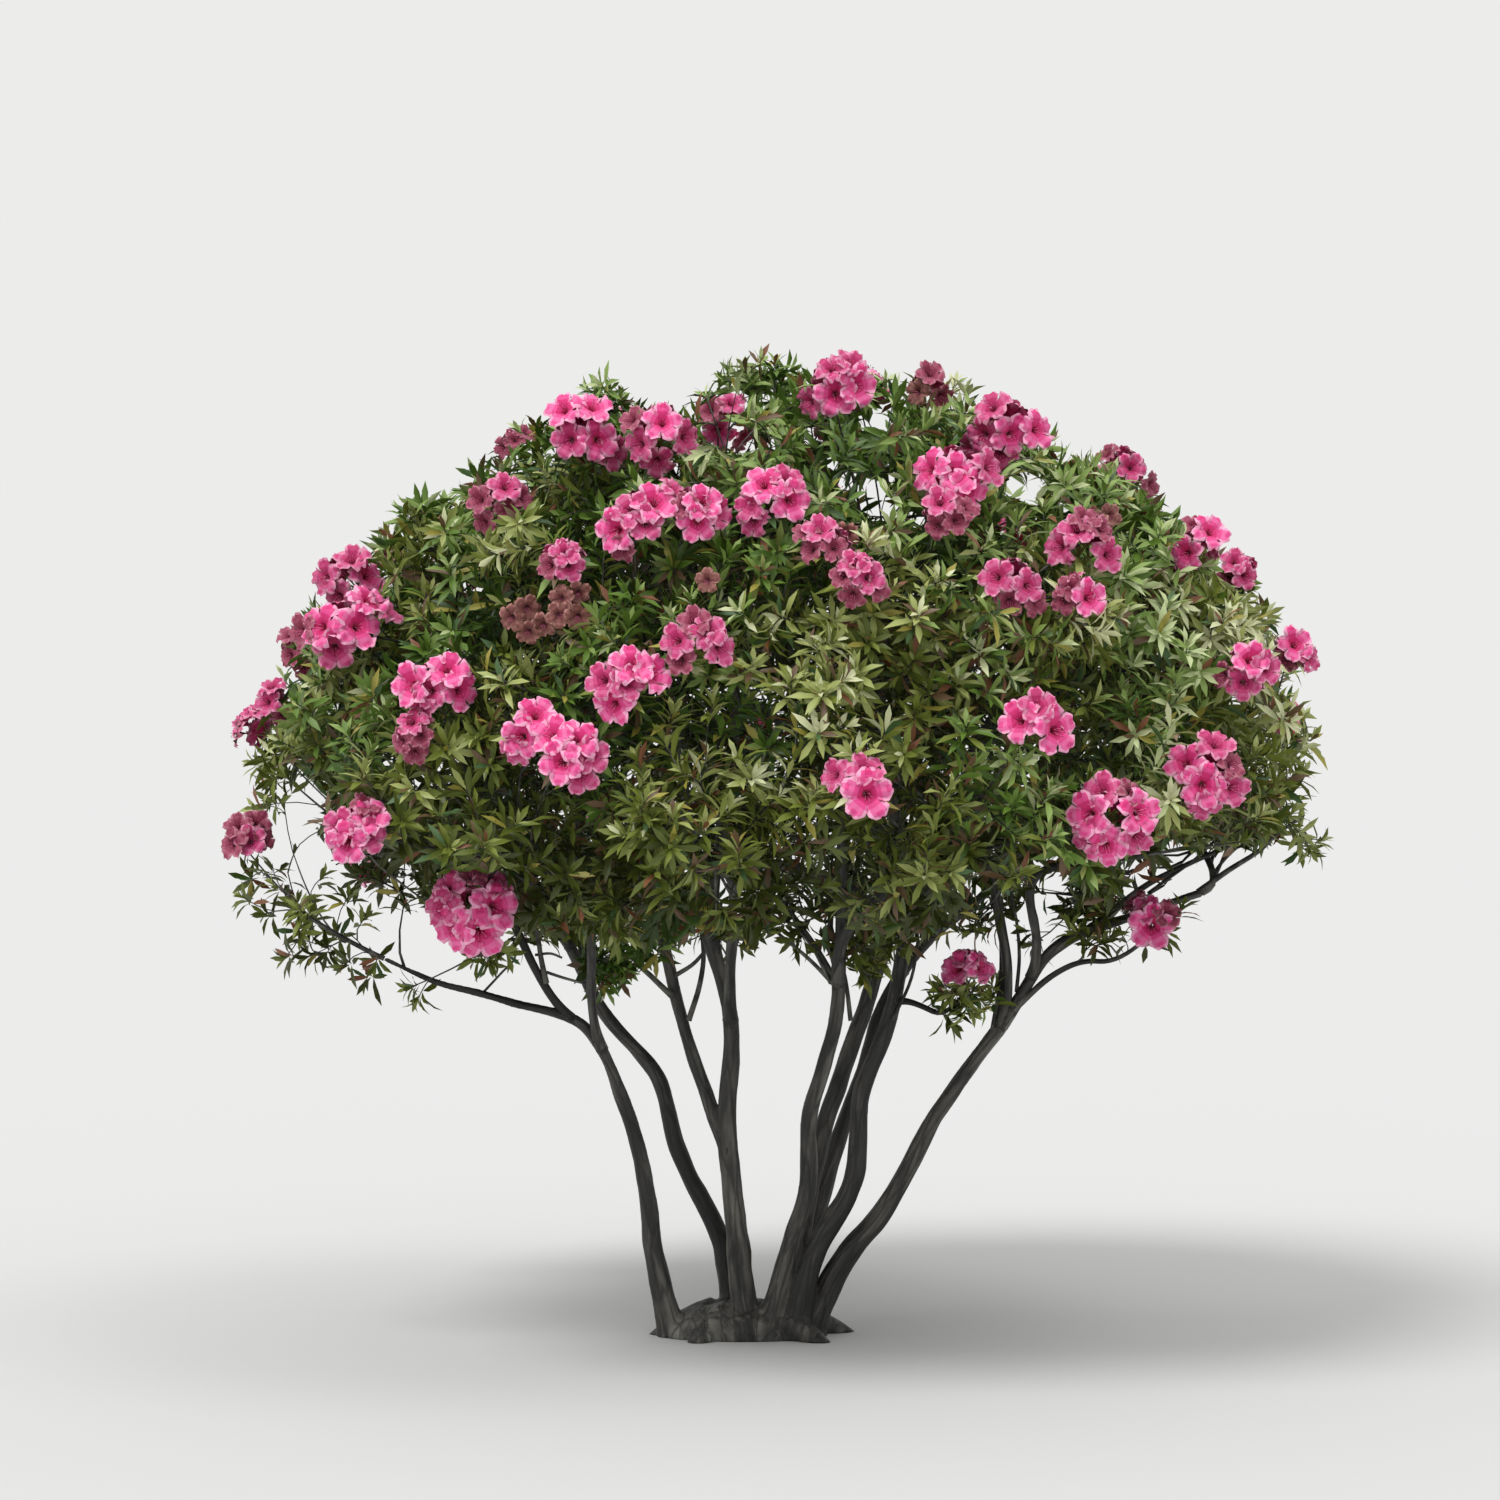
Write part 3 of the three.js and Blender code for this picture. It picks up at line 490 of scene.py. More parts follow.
limbs = []
for name, stem in stems.items():
    mass = massNamed[stem["feeds"]]
    points = [place(*bend) for bend in stem["bends"]]
    parent = next((limb for limb in limbs if limb.name == stem.get("parent")), None)
    if parent:
        points.insert(0, parent.at(parent.shareAtHeight(stem["height"])))
    entry = mass["entry"]
    if entry is not None and np.linalg.norm(points[-1] - focus) < np.linalg.norm(entry - focus):
        points.append(entry)
    else:
        mass["entry"] = points[-1]
    short = plan["shortestStem"] - np.linalg.norm(mass["hub"] - mass["entry"])
    mass["hub"] = mass["hub"] + mass["outward"] * max(0, short)
    limb = Limb(name, throughPoints(points), stem["radius"], parent)
    mass.update(feed=limb.tangentAt(1), feedRadius=stem["radius"][1], limb=limb)
    limbs.append(limb)
for mass in masses:
    if not mass["source"]:
        continue
    parent = next(limb for limb in limbs if limb.name == mass["source"][0])
    share = parent.shareAtHeight(mass["source"][1])
    foot = parent.at(share)
    handle = plan["boughHandle"] * np.linalg.norm(foot - mass["entry"])
    start = unit(parent.tangentAt(share) * plan["parentWay"] + unit(mass["entry"] - foot))
    line = bezier([foot, foot + start * handle, mass["entry"] - mass["outward"] * handle,
                   mass["entry"]], plan["boughPoints"])
    thick, thin = plan["boughRadius"] if mass["reach"] is None else plan["sprayRadius"]
    radius = (min(thick, plan["parentShare"] * parent.radiusAt(share)), thin)
    limb = Limb("bough_" + mass["name"].replace("mass_", ""), line, radius, parent)
    mass.update(feed=limb.tangentAt(1), feedRadius=thin, limb=limb)
    limbs.append(limb)
domeHubs = np.array([mass["hub"] for mass in masses if mass["reach"] is None])
limbPoints = np.concatenate([limb.points for limb in limbs])
limbRadii = np.concatenate([limb.radii for limb in limbs])
print("plan:", len(limbs), "limbs,", len(masses), "masses,", len(trusses), "trusses")


# Materials

def linear(red, green, blue):
    # a screen colour of 0 to 255 as the shader's own
    parts = [channel / 255 for channel in (red, green, blue)]
    return tuple(c / 12.92 if c <= 0.04045 else ((c + 0.055) / 1.055) ** 2.4 for c in parts) + (1,)


class Nodes:
    # a new material, and short ways to add its nodes
    def __init__(self, name):
        self.material = bpy.data.materials.new(name)
        self.material.use_nodes = True
        self.tree = self.material.node_tree
        self.shader = self.tree.nodes["Principled BSDF"]

    def put(self, socket, value):
        # sets a socket, or joins another node's output to it
        if isinstance(value, bpy.types.NodeSocket):
            self.tree.links.new(value, socket)
        else:
            socket.default_value = value

    def feed(self, node, inputs):
        for name, value in inputs.items():
            self.put(node.inputs[name], value)

    def add(self, kind, output, inputs=(), **settings):
        # a new node's output
        node = self.tree.nodes.new("ShaderNode" + kind)
        for name, value in settings.items():
            setattr(node, name, value)
        self.feed(node, dict(inputs))
        return node.outputs[output]

    def compute(self, operation, *values, kind="Math"):
        output = self.add(kind, 0, operation=operation)
        for socket, value in zip(output.node.inputs, values):
            self.put(socket, value)
        return output

    def ramp(self, source, stops):
        output = self.add("ValToRGB", "Color", {"Fac": source})
        elements = output.node.color_ramp.elements
        while len(elements) < len(stops):
            elements.new(0.5)
        for element, (position, colour) in zip(elements, stops):
            element.position, element.color = position, linear(*colour)
        return output


barkFinish = dict(
    # the pale and palest tones, dealt out by noise, are painted grey highlights
    dark=(22, 22, 21), middle=(48, 47, 44), pale=(86, 84, 79), greyHighlight=(122, 122, 113),
    steps=(0.4, 0.49, 0.57, 0.68), mix=(0.55, 0.45),  # where each tone lies; patches to streaks
    streaks=(0.9, 5, 0.62), patches=(0.16, 2, 0.5), fine=(3.4, 3, 0.5),  # scale, detail, roughness
    cracks=0.6, crackWidth=0.12, crackWobble=0.7, crackDark=0.35,
    roughness=(0.45, 0.8), bump=0.7, bumpDepth=0.0012, fineBump=0.6,
)


def barkMaterial(name, paler):
    look = barkFinish
    nodes = Nodes(name)
    grain = nodes.add("Attribute", "Vector", attribute_name="grain")
    streaks, patches, fine = (
        nodes.add("TexNoise", "Fac", {"Vector": grain, "Scale": scale, "Detail": detail,
                                      "Roughness": rough})
        for scale, detail, rough in (look["streaks"], look["patches"], look["fine"]))
    both = nodes.compute("MULTIPLY_ADD", patches, look["mix"][0],
                         nodes.compute("MULTIPLY", streaks, look["mix"][1]))
    first, second, third, last = look["steps"]
    # the ramp's pale end paints grey highlights on the bark
    colour = nodes.ramp(both, [(first, look["dark"]), (second, look["middle"]),
                               (third - paler, look["pale"]), (last, look["greyHighlight"])])
    # shallow cracks run along the limb
    wobble = nodes.compute("MULTIPLY_ADD", streaks.node.outputs["Color"],
                           [look["crackWobble"]] * 3, grain, kind="VectorMath")
    cracks = nodes.add("TexVoronoi", "Distance", {"Vector": wobble, "Scale": look["cracks"]},
                       feature="DISTANCE_TO_EDGE")
    deep = nodes.add("MapRange", "Result", {"Value": cracks, "From Max": look["crackWidth"],
                                            "To Min": look["crackDark"]})
    rough = nodes.add("MapRange", "Result", {"Value": streaks, "To Min": look["roughness"][0],
                                             "To Max": look["roughness"][1]})
    height = nodes.compute("MULTIPLY_ADD", fine, look["fineBump"], deep)
    bump = nodes.add("Bump", "Normal", {"Height": height, "Strength": look["bump"],
                                        "Distance": look["bumpDepth"]})
    darkened = nodes.compute("MULTIPLY", colour, deep, kind="VectorMath")
    nodes.feed(nodes.shader, {"Base Color": darkened, "Roughness": rough, "Normal": bump})
    return nodes.material


leafSteps = ["Shade", "Deep", "Mid", "Fresh", "Pale"]
leafTones = dict(
    olive=[(62, 71, 23), (86, 98, 34), (114, 125, 50), (154, 162, 94), (200, 204, 160)],
    green=[(48, 69, 21), (65, 92, 28), (91, 120, 42), (130, 154, 80), (182, 194, 142)])
oddLeaves = dict(Cool=(70, 98, 56), Warm=(154, 146, 66), Brown=(100, 78, 54), Rusty=(124, 80, 54))
petalZones = ["Throat", "Inner", "Middle", "Outer", "Rim"]
petalTones = dict(  # bright is the lit tone; full and dull are darker copies, partly older blooms and partly painted shade; faded is spent and brown
    bright=[(182, 26, 92), (210, 44, 116), (224, 72, 140), (232, 106, 162), (241, 166, 198)],
    full=[(150, 24, 78), (178, 38, 98), (194, 60, 116), (204, 90, 138), (220, 142, 172)],
    dull=[(110, 24, 52), (128, 38, 66), (142, 54, 82), (158, 74, 98), (180, 110, 128)],
    faded=[(104, 52, 52), (122, 68, 66), (136, 82, 78), (150, 98, 92), (166, 116, 108)])
smallTones = dict(stamen=(226, 120, 160), anther=(92, 40, 58), stalk=(112, 108, 52))
finishes = dict(  # a fine grain in the gloss and relief of each plain colour
    leaf=dict(roughness=0.46, grain=260, depth=0.0006, gloss=0.4, sheen=0),
    petal=dict(roughness=0.6, grain=420, depth=0.0004, gloss=0.28, sheen=0.15),
    small=dict(roughness=0.55, grain=400, depth=0.0002, gloss=0.28, sheen=0),
)
glossSpread, reliefStrength = 0.1, 0.3


def plainMaterial(name, colour, finish):
    look = finishes[finish]
    nodes = Nodes(name)
    where = nodes.add("TexCoord", "Object")
    grain = nodes.add("TexNoise", "Fac", {"Vector": where, "Scale": look["grain"], "Detail": 2})
    rough = nodes.add("MapRange", "Result", {"Value": grain,
                                             "To Min": look["roughness"] - glossSpread,
                                             "To Max": look["roughness"] + glossSpread})
    bump = nodes.add("Bump", "Normal", {"Height": grain, "Strength": reliefStrength,
                                        "Distance": look["depth"]})
    nodes.feed(nodes.shader, {
        "Base Color": linear(*colour), "Roughness": rough, "Normal": bump,
        "Specular IOR Level": look["gloss"], "Sheen Weight": look["sheen"]})
    return nodes.material


def toneRows(tones, steps, finish):
    return [plainMaterial(kind + step, colour, finish)
            for kind, row in tones.items() for step, colour in zip(steps, row)]


stemBark = barkMaterial("stemBark", 0)
twigBark = barkMaterial("twigBark", 0.04)
leafMaterials = toneRows(leafTones, leafSteps, "leaf") + [
    plainMaterial("leaf" + name, colour, "leaf") for name, colour in oddLeaves.items()]
petalMaterials = toneRows(petalTones, petalZones, "petal") + [
    plainMaterial(name, colour, "small") for name, colour in smallTones.items()]
print("materials:", len(bpy.data.materials))


# Making pieces

def deselectAll():
    if bpy.context.mode != "OBJECT":
        bpy.ops.object.mode_set(mode="OBJECT")
    bpy.ops.object.select_all(action="DESELECT")


def pick(obj, test):
    # in edit mode, selects the vertices that pass the test
    mesh = bmesh.from_edit_mesh(obj.data)
    mesh.select_mode = {"VERT"}
    for vertex in mesh.verts:
        vertex.select = test(vertex.co)
    mesh.select_flush_mode()
    bmesh.update_edit_mesh(obj.data)


def pieceFromArrays(name, points, corners, sizes, tones, materials):
    mesh = bpy.data.meshes.new(name)
    mesh.vertices.add(len(points))
    mesh.vertices.foreach_set("co", (points * mm).astype(np.float32).ravel())
    mesh.loops.add(len(corners))
    mesh.loops.foreach_set("vertex_index", corners.astype(np.int32))
    mesh.polygons.add(len(sizes))
    mesh.polygons.foreach_set("loop_start", (np.cumsum(sizes) - sizes).astype(np.int32))
    mesh.polygons.foreach_set("material_index", tones.astype(np.int32))
    mesh.polygons.foreach_set("use_smooth", np.ones(len(sizes), dtype=bool))
    mesh.update(calc_edges=True)
    mesh.validate()
    for material in materials:
        mesh.materials.append(material)
    obj = bpy.data.objects.new(name, mesh)
    bpy.context.scene.collection.objects.link(obj)
    return obj


def joined(parts):
    # several (points, corners, sizes, tones) as one
    parts = [part for part in parts if len(part[0])]
    starts = np.cumsum([0] + [len(part[0]) for part in parts[:-1]])
    return (np.concatenate([part[0] for part in parts]),
            np.concatenate([part[1] + start for part, start in zip(parts, starts)]),
            np.concatenate([part[2] for part in parts]),
            np.concatenate([part[3] for part in parts]))


def tubes(paths, radii, sides, tone=0):
    # closed tapering tubes along many paths of the same number of points
    count, stations, _ = paths.shape
    along = unit(np.gradient(paths, axis=1))
    upright = np.abs(along[:, :1, 2:]) > 0.85
    guide = np.where(upright, place(1, 0, 0), place(0, 0, 1))
    out = unit(guide - along * np.sum(guide * along, axis=2, keepdims=True))
    across = np.cross(along, out)
    turn = 2 * np.pi * np.arange(sides) / sides
    ring = out[:, :, None] * np.cos(turn)[:, None] + across[:, :, None] * np.sin(turn)[:, None]
    points = paths[:, :, None] + ring * radii[:, :, None, None]
    k, s = np.meshgrid(np.arange(stations - 1), np.arange(sides), indexing="ij")
    after = (s + 1) % sides
    walls = np.stack([k * sides + s, k * sides + after, (k + 1) * sides + after,
                      (k + 1) * sides + s], axis=-1).reshape(-1)
    foot = np.arange(sides)[::-1]
    head = (stations - 1) * sides + np.arange(sides)
    one = np.concatenate([walls, foot, head])
    corners = (one[None] + (np.arange(count) * stations * sides)[:, None]).ravel()
    sizes = np.tile(np.concatenate([np.full((stations - 1) * sides, 4), [sides, sides]]), count)
    return points.reshape(-1, 3), corners, sizes, np.full(len(sizes), tone)


def copies(pattern, origins, bases, toneOffsets):
    # many placed copies of one small pattern: bases hold its x, y and z as arrows
    points, corners, sizes, tones = pattern
    made = origins[:, None] + np.einsum("vk,nkc->nvc", points, bases)
    shift = (np.arange(len(origins)) * len(points))[:, None]
    return (made.reshape(-1, 3), (corners[None] + shift).ravel(), np.tile(sizes, len(origins)),
            (tones[None] + toneOffsets[:, None]).ravel())


def meshPoints(mesh):
    points = np.empty(len(mesh.vertices) * 3)
    mesh.vertices.foreach_get("co", points)
    return points.reshape(-1, 3)


def giveGrain(mesh, grain):
    # the attribute that the bark's finish follows
    layer = mesh.attributes.new("grain", "FLOAT_VECTOR", "POINT")
    layer.data.foreach_set("vector", grain.astype(np.float32).ravel())


def patternOf(obj):
    # a modelled object as arrays, and the object is removed
    mesh = obj.data
    points = meshPoints(mesh)
    corners = np.empty(len(mesh.loops), dtype=np.int64)
    mesh.loops.foreach_get("vertex_index", corners)
    sizes = np.array([polygon.loop_total for polygon in mesh.polygons])
    tones = np.array([polygon.material_index for polygon in mesh.polygons])
    bpy.data.objects.remove(obj)
    return points, corners, sizes, tones


def settle(obj, nodes):
    # the piece rides on the plant's one body and stands for its nodes
    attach(obj, "root")
    if nodes:
        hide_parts(*nodes)
    triangles = sum(polygon.loop_total - 2 for polygon in obj.data.polygons)
    print(f"  {obj.name}: {triangles} triangles")


# Bark of the root crown, stems and boughs

wood = dict(
    rootMiddleX=-30, burl=(118, 59, 52),
    rootCount=5, rootRadius=(24, 14), rootUneven=0.14, rootTurn=0.35,
    rootBends=[(0.4, 30), (0.9, 22), (1.35, -22)],  # share of the burl's reach, and height
    footFlare=0.28, footFade=70, forkFlare=0.34, forkFade=22, intoGround=12,
    lineStep=7, wander=1.6, wanderSize=55, stillEnds=60, knotSize=45, knotSwell=0.14,
    voxel=2.7, smooth=6, keep=0.42, boughSides=12, boughShare=0.5,
    ridgeDepth=0.8, ridgeScale=0.11, lumpDepth=1.1, lumpScale=0.03, lowest=8,
    grainStretch=7, grainScale=0.1, twigGrain=40,
    apart=400,  # so that no two limbs show the same stretch of bark
)


def addLimbCurve(name, line, radii):
    curve = bpy.data.curves.new(name, "CURVE")
    curve.dimensions = "3D"
    curve.bevel_depth = 1
    curve.bevel_resolution = 4
    curve.use_fill_caps = True
    spline = curve.splines.new("POLY")
    spline.points.add(len(line) - 1)
    for point, spot, radius in zip(spline.points, line, radii):
        point.co = (*(spot * mm), 1)
        point.radius = radius * mm
    obj = bpy.data.objects.new(name, curve)
    bpy.context.scene.collection.objects.link(obj)
    return obj


def barkLine(limb, seed):
    # the limb's own line with a slight wander, and its radii with a flare and knots
    count = max(8, math.ceil(limb.length / wood["lineStep"]))
    shares = np.linspace(0, 1, count + 1)
    line = limb.at(shares)
    run = shares * limb.length
    radii = limb.radiusAt(shares)
    still = wood["stillEnds"]
    fade = np.minimum(run / still, 1) * np.minimum((limb.length - run) / still, 1)
    for k, spot in enumerate(line):
        drift = noise.noise_vector(Vector((run[k] / wood["wanderSize"], seed * 7.3, 0.5)))
        line[k] = spot + np.array(drift) * wood["wander"] * fade[k]
        knot = noise.noise(Vector((run[k] / wood["knotSize"], seed * 3.1, 9.5)))
        radii[k] *= 1 + wood["knotSwell"] * max(0, knot)
    if limb.parent:
        radii *= 1 + wood["forkFlare"] * np.exp(-run / wood["forkFade"])
    else:
        radii *= 1 + wood["footFlare"] * np.exp(-line[:, 2] / wood["footFade"])
    return line, radii


def remeshed(parts, name):
    # joins the parts, and makes one smooth skin of them
    deselectAll()
    for part in parts:
        part.select_set(True)
    bpy.context.view_layer.objects.active = parts[0]
    bpy.ops.object.convert(target="MESH")
    bpy.ops.object.join()
    obj = bpy.context.view_layer.objects.active
    obj.name = obj.data.name = name
    remesh = obj.modifiers.new("skin", "REMESH")
    remesh.mode = "VOXEL"
    remesh.voxel_size = wood["voxel"] * mm
    remesh.adaptivity = 0
    bpy.ops.object.modifier_apply(modifier=remesh.name)
    soften = obj.modifiers.new("soften", "SMOOTH")
    soften.factor = 0.5
    soften.iterations = wood["smooth"]
    bpy.ops.object.modifier_apply(modifier=soften.name)
    fewer = obj.modifiers.new("fewer", "DECIMATE")
    fewer.ratio = wood["keep"]
    bpy.ops.object.modifier_apply(modifier=fewer.name)
    return obj


def roughen(obj, ridgeDepth, lumpDepth):
    # bark relief that runs along each limb
    mesh = obj.data
    points = meshPoints(mesh) / mm
    normals = np.empty(points.size)
    mesh.vertex_normals.foreach_get("vector", normals)
    near = np.array([stationTree.find(Vector(spot))[1] for spot in points])
    away = points - stationPoints[near]
    along = np.sum(away * stationAlong[near], axis=1)
    grain = np.stack([np.sum(away * stationOut[near], axis=1),
                      np.sum(away * stationAcross[near], axis=1),
                      (stationRun[near] + along) / wood["grainStretch"]], axis=1)
    ridges = np.array([noise.noise(Vector(spot)) for spot in grain * wood["ridgeScale"]])
    lumps = np.array([noise.noise(Vector(spot)) for spot in points * wood["lumpScale"]])
    depth = ridgeDepth * ridges + lumpDepth * lumps
    grounded = np.clip(points[:, 2] / wood["lowest"], 0, 1)  # flat where it meets the ground
    points = points + normals.reshape(-1, 3) * (depth * grounded)[:, None]
    mesh.vertices.foreach_set("co", (points * mm).astype(np.float32).ravel())
    giveGrain(mesh, grain * wood["grainScale"])
    mesh.polygons.foreach_set("use_smooth", np.ones(len(mesh.polygons), dtype=bool))
    mesh.update()


def addRootCrown():
    x, y, z = wood["burl"]
    deselectAll()
    bpy.ops.mesh.primitive_uv_sphere_add(
        segments=32, ring_count=16, radius=mm, location=(wood["rootMiddleX"] * mm, 0, 0),
        scale=(x, y, z))
    burl = bpy.context.object
    bpy.ops.object.transform_apply(location=True, rotation=True, scale=True)
    parts = [burl]
    for k in range(wood["rootCount"]):
        turn = 2 * math.pi * (k + wood["rootTurn"]) / wood["rootCount"]
        reach = 1 + wood["rootUneven"] * math.sin(5 * k + 1)  # some reach further
        spots = [place(wood["rootMiddleX"] + share * reach * math.cos(turn) * x,
                       share * reach * math.sin(turn) * y, height)
                 for share, height in wood["rootBends"]]
        radii = lerp(*wood["rootRadius"], np.linspace(0, 1, 16) ** plan["taper"])
        parts.append(addLimbCurve(f"rootRidge{k}", bezier(spots, 16), radii))
    return parts


stemParts, boughParts, stations = addRootCrown(), [], []
for seed, limb in enumerate(limbs):
    line, radii = barkLine(limb, seed)
    if not limb.parent:
        line = np.concatenate([[line[0] - place(0, 0, wood["intoGround"])], line])
        radii = np.concatenate([[radii[0]], radii])
    if limb.name.startswith("stem"):
        stemParts.append(addLimbCurve(limb.name + "_bark", line, radii))
    else:
        boughParts.append(tubes(line[None], radii[None], wood["boughSides"]))
    along = unit(np.gradient(line, axis=0))
    out = [sideways(along[0])[0]]
    for axis in along[1:]:
        out.append(unit(out[-1] - axis * (out[-1] @ axis)))
    stations.append((line, along, np.array(out), np.cross(along, out),
                     runAlong(line) + seed * wood["apart"]))
stationPoints, stationAlong, stationOut, stationAcross, stationRun = (
    np.concatenate(column) for column in zip(*stations))
stationTree = treeOf(stationPoints)

print("bark:")
stemsBark = remeshed(stemParts, "stemsBark")
bpy.ops.object.mode_set(mode="EDIT")
bpy.ops.mesh.select_all(action="SELECT")
bpy.ops.mesh.bisect(plane_co=(0, 0, 0), plane_no=(0, 0, 1), use_fill=True, clear_inner=True)
bpy.ops.object.mode_set(mode="OBJECT")
roughen(stemsBark, wood["ridgeDepth"], wood["lumpDepth"])
stemsBark.data.materials.append(stemBark)
settle(stemsBark, ["root_crown"] + list(stems))
boughsBark = pieceFromArrays("boughsBark", *joined(boughParts), [stemBark])
roughen(boughsBark, wood["ridgeDepth"] * wood["boughShare"], wood["lumpDepth"] * wood["boughShare"])
settle(boughsBark, [limb.name for limb in limbs if limb.name.startswith("bough")])


# Where the flowers stand: the plan comes before the leaves, which keep clear of them

flowerLook = dict(
    rows=[  # along a petal: distance out, height and half width, all in millimetres
        (1.5, -20, 1.3), (3, -11, 2.6), (6.5, -3, 5.2), (13, 2.5, 10.4), (20, 5.5, 14.6),
        (27, 6.4, 16.6), (33, 5.4, 14.6), (38, 3, 9)],
    zones=[0, 0, 1, 2, 3, 3, 4],  # the tone of each row: throat, inner, middle, outer, rim
    margins=[(7, 10, (0, -0.8, -1.2)), (10.5, 28, (0, -2.6, -0.5))],  # past which they fall, and how
    notch=(1, 36, (0, -2.4, 0.8)), petals=5, variants=6, twist=0.14, tilt=0.18,
    ruffle=2.9, ruffleFrom=11, ruffleFull=14, waves=(0.34, 0.42), uneven=0.4, blotch=0.42,
    stamens=5, threadRadius=0.4, antherRadius=0.9, stalkRadius=0.9, tube=19,
    halfWidth=38, size=0.76, lean=66, ringLean=56, ringSize=1.08, turnedAway=0.75,
    ringRadii=(38, 44),  # a truss has three flowers round it, and one more from each radius on
    ringTurn=0.13, ringTilt=0.16, middleTilt=(0.3, 0.4), darkerShare=0.45,
    ringReach=(0.5, 0.7), ringHeart=(0.3, 0.75), mostOut=1.1, axisPull=0.25,
    dome=(0.9, 0.45),  # how far a truss bulges towards the viewer, in its own radii
    farSpread=0.9, farReach=0.4, spin=0.5, stalkBow=4, ruffleAcross=(11, 40),
    heartDepth=0.45, scatter=0.09, sizes=(0.94, 1.06), dullShown=0.6,
    bySmallness=(0.55, 110, 1.05),  # the size in the smallest truss, what a wider one adds, the most
    byToneLevel=[1, 0.87, 0.72, 0.62],  # how large a flower is, by its tone level from bright to brown
)

rng = np.random.default_rng(20)


def planBlooms(truss):
    # each flower's throat, the way it faces, its tone level (the darker levels partly painted shade),
    # and its size
    look = flowerLook
    radius, axis, middle = truss["radius"], truss["axis"], truss["middle"]
    least, wider, most = look["bySmallness"]
    size = look["size"] * min(most, least + radius / wider)
    lean = math.radians(look["lean"])
    planned = []

    def add(throat, way, fade, larger=1, shown=0):
        face = unit(way + rng.normal(size=3) * look["scatter"])
        scale = size * larger * look["byToneLevel"][fade] * rng.uniform(*look["sizes"])
        planned.append(dict(throat=throat, face=face, fade=fade, size=scale, shown=shown,
                            middle=throat + face * 2, halfWidth=look["halfWidth"] * scale,
                            heart=middle - axis * radius * look["heartDepth"],
                            mass=truss["mass"]))

    if truss["flowers"]:
        view = unit(viewer - middle)
        right = unit(np.cross(place(0, 0, 1), view))
        over = np.cross(view, right)
        nearer = (middle[1] - viewer[1]) / -viewer[1]
        bulge, sunk = look["dome"]
        for across, height, fade, *larger in truss["flowers"]:
            aside, lift = (place(across, height) - asSeen(middle)) * nearer
            away = math.hypot(aside, lift)
            tilt = min(away / radius, look["mostOut"]) * lean
            out = (right * aside + over * lift) / max(away, 1)
            throat = middle + out * away + view * radius * (math.cos(tilt) * bulge - sunk)
            way = view * math.cos(tilt) + out * math.sin(tilt) + axis * look["axisPull"]
            add(throat, way, fade, *larger, shown=look["dullShown"] if fade == 2 else 1)
        if axis @ view < look["turnedAway"] and truss["backed"]:  # the side that the viewer doesn't see
            side = unit(np.cross(axis, view))
            for k in (-1, 0, 1):
                way = unit(axis * look["farSpread"] - view + side * k * look["farSpread"])
                add(middle + way * radius * look["farReach"], way, 1)
        return planned
    right, over = sideways(axis)
    lean = math.radians(look["ringLean"])
    ring = 3 + sum(radius >= limit for limit in look["ringRadii"])
    halfWidth = look["halfWidth"] * size
    inset, shortest = look["ringReach"]
    reach = max(radius - halfWidth * inset, halfWidth * shortest) / math.sin(lean)
    heart = middle + axis * (radius * look["ringHeart"][0] - reach * look["ringHeart"][1])
    first = rng.uniform(0, 2 * np.pi)
    for k in range(ring if truss["open"] else ring + 2):
        turn = first + 2 * np.pi * (k + rng.uniform(-look["ringTurn"], look["ringTurn"])) / ring
        tilt = lean + rng.uniform(-look["ringTilt"], look["ringTilt"])
        if k >= ring:  # two in the middle
            turn = first + math.pi * k
            tilt = rng.uniform(*look["middleTilt"])
        way = axis * math.cos(tilt) + (right * math.cos(turn) + over * math.sin(turn)) * math.sin(tilt)
        # ring flowers take a darker tone at random, a dull truss's all the darkest: partly older
        # blooms, partly painted shade
        fade = 2 if truss["dull"] else int(rng.random() < look["darkerShare"])
        add(heart + way * reach * rng.uniform(*look["sizes"]), way, fade, look["ringSize"])
    return planned


blooms = [bloom for truss in trusses for bloom in planBlooms(truss)]

# small trusses among the large ones at the back
smallTrusses = dict(count=14, radius=34, apart=36, measure=0.95, behind=40, lift=(4, 66), rise=200)
taken = [(truss["middle"], truss["radius"]) for truss in trusses]
for k in range(400):
    lift = smallTrusses["lift"][0] + smallTrusses["lift"][1] * rng.random() ** 0.8
    spot = crownPoint(heading(lift, goldenTurn * k), smallTrusses["measure"])
    room = smallTrusses["radius"] + smallTrusses["apart"]
    free = all(np.linalg.norm(other - spot) > reach + room for other, reach in taken)
    if free and spot[1] > smallTrusses["behind"]:
        taken.append((spot, smallTrusses["radius"]))
        blooms += planBlooms(dict(
            middle=spot, radius=smallTrusses["radius"], flowers=None,
            axis=unit(spot - focus + place(0, 0, smallTrusses["rise"])),
            mass=masses[nearestDome(spot)], open=True, dull=k % plan["dullEvery"] == 0))
    if len(taken) == len(trusses) + smallTrusses["count"]:
        break

# single faded flowers, a little inside the crown, that nod
fadedLook = dict(inside=24, radius=30, size=1.2, shown=0.3, nod=(14, 6, 22))
aside, least, most = fadedLook["nod"]
for across, height in fadedFlowers:
    spot = seenOnCrown(across, height, -1)
    spot = spot + unit(focus - spot) * fadedLook["inside"]
    above = spot + place(rng.uniform(-aside, aside), 0, rng.uniform(least, most))
    blooms += planBlooms(dict(
        middle=above, radius=fadedLook["radius"], axis=unit(spot - focus),
        mass=masses[nearestDome(spot)], flowers=[(*asSeen(spot), 3, fadedLook["size"])],
        backed=False))
for bloom in blooms[-len(fadedFlowers):]:
    bloom["shown"] = fadedLook["shown"]
print("flowers:", len(blooms))


# Twigs: the source's own, then finer ones that fork from them

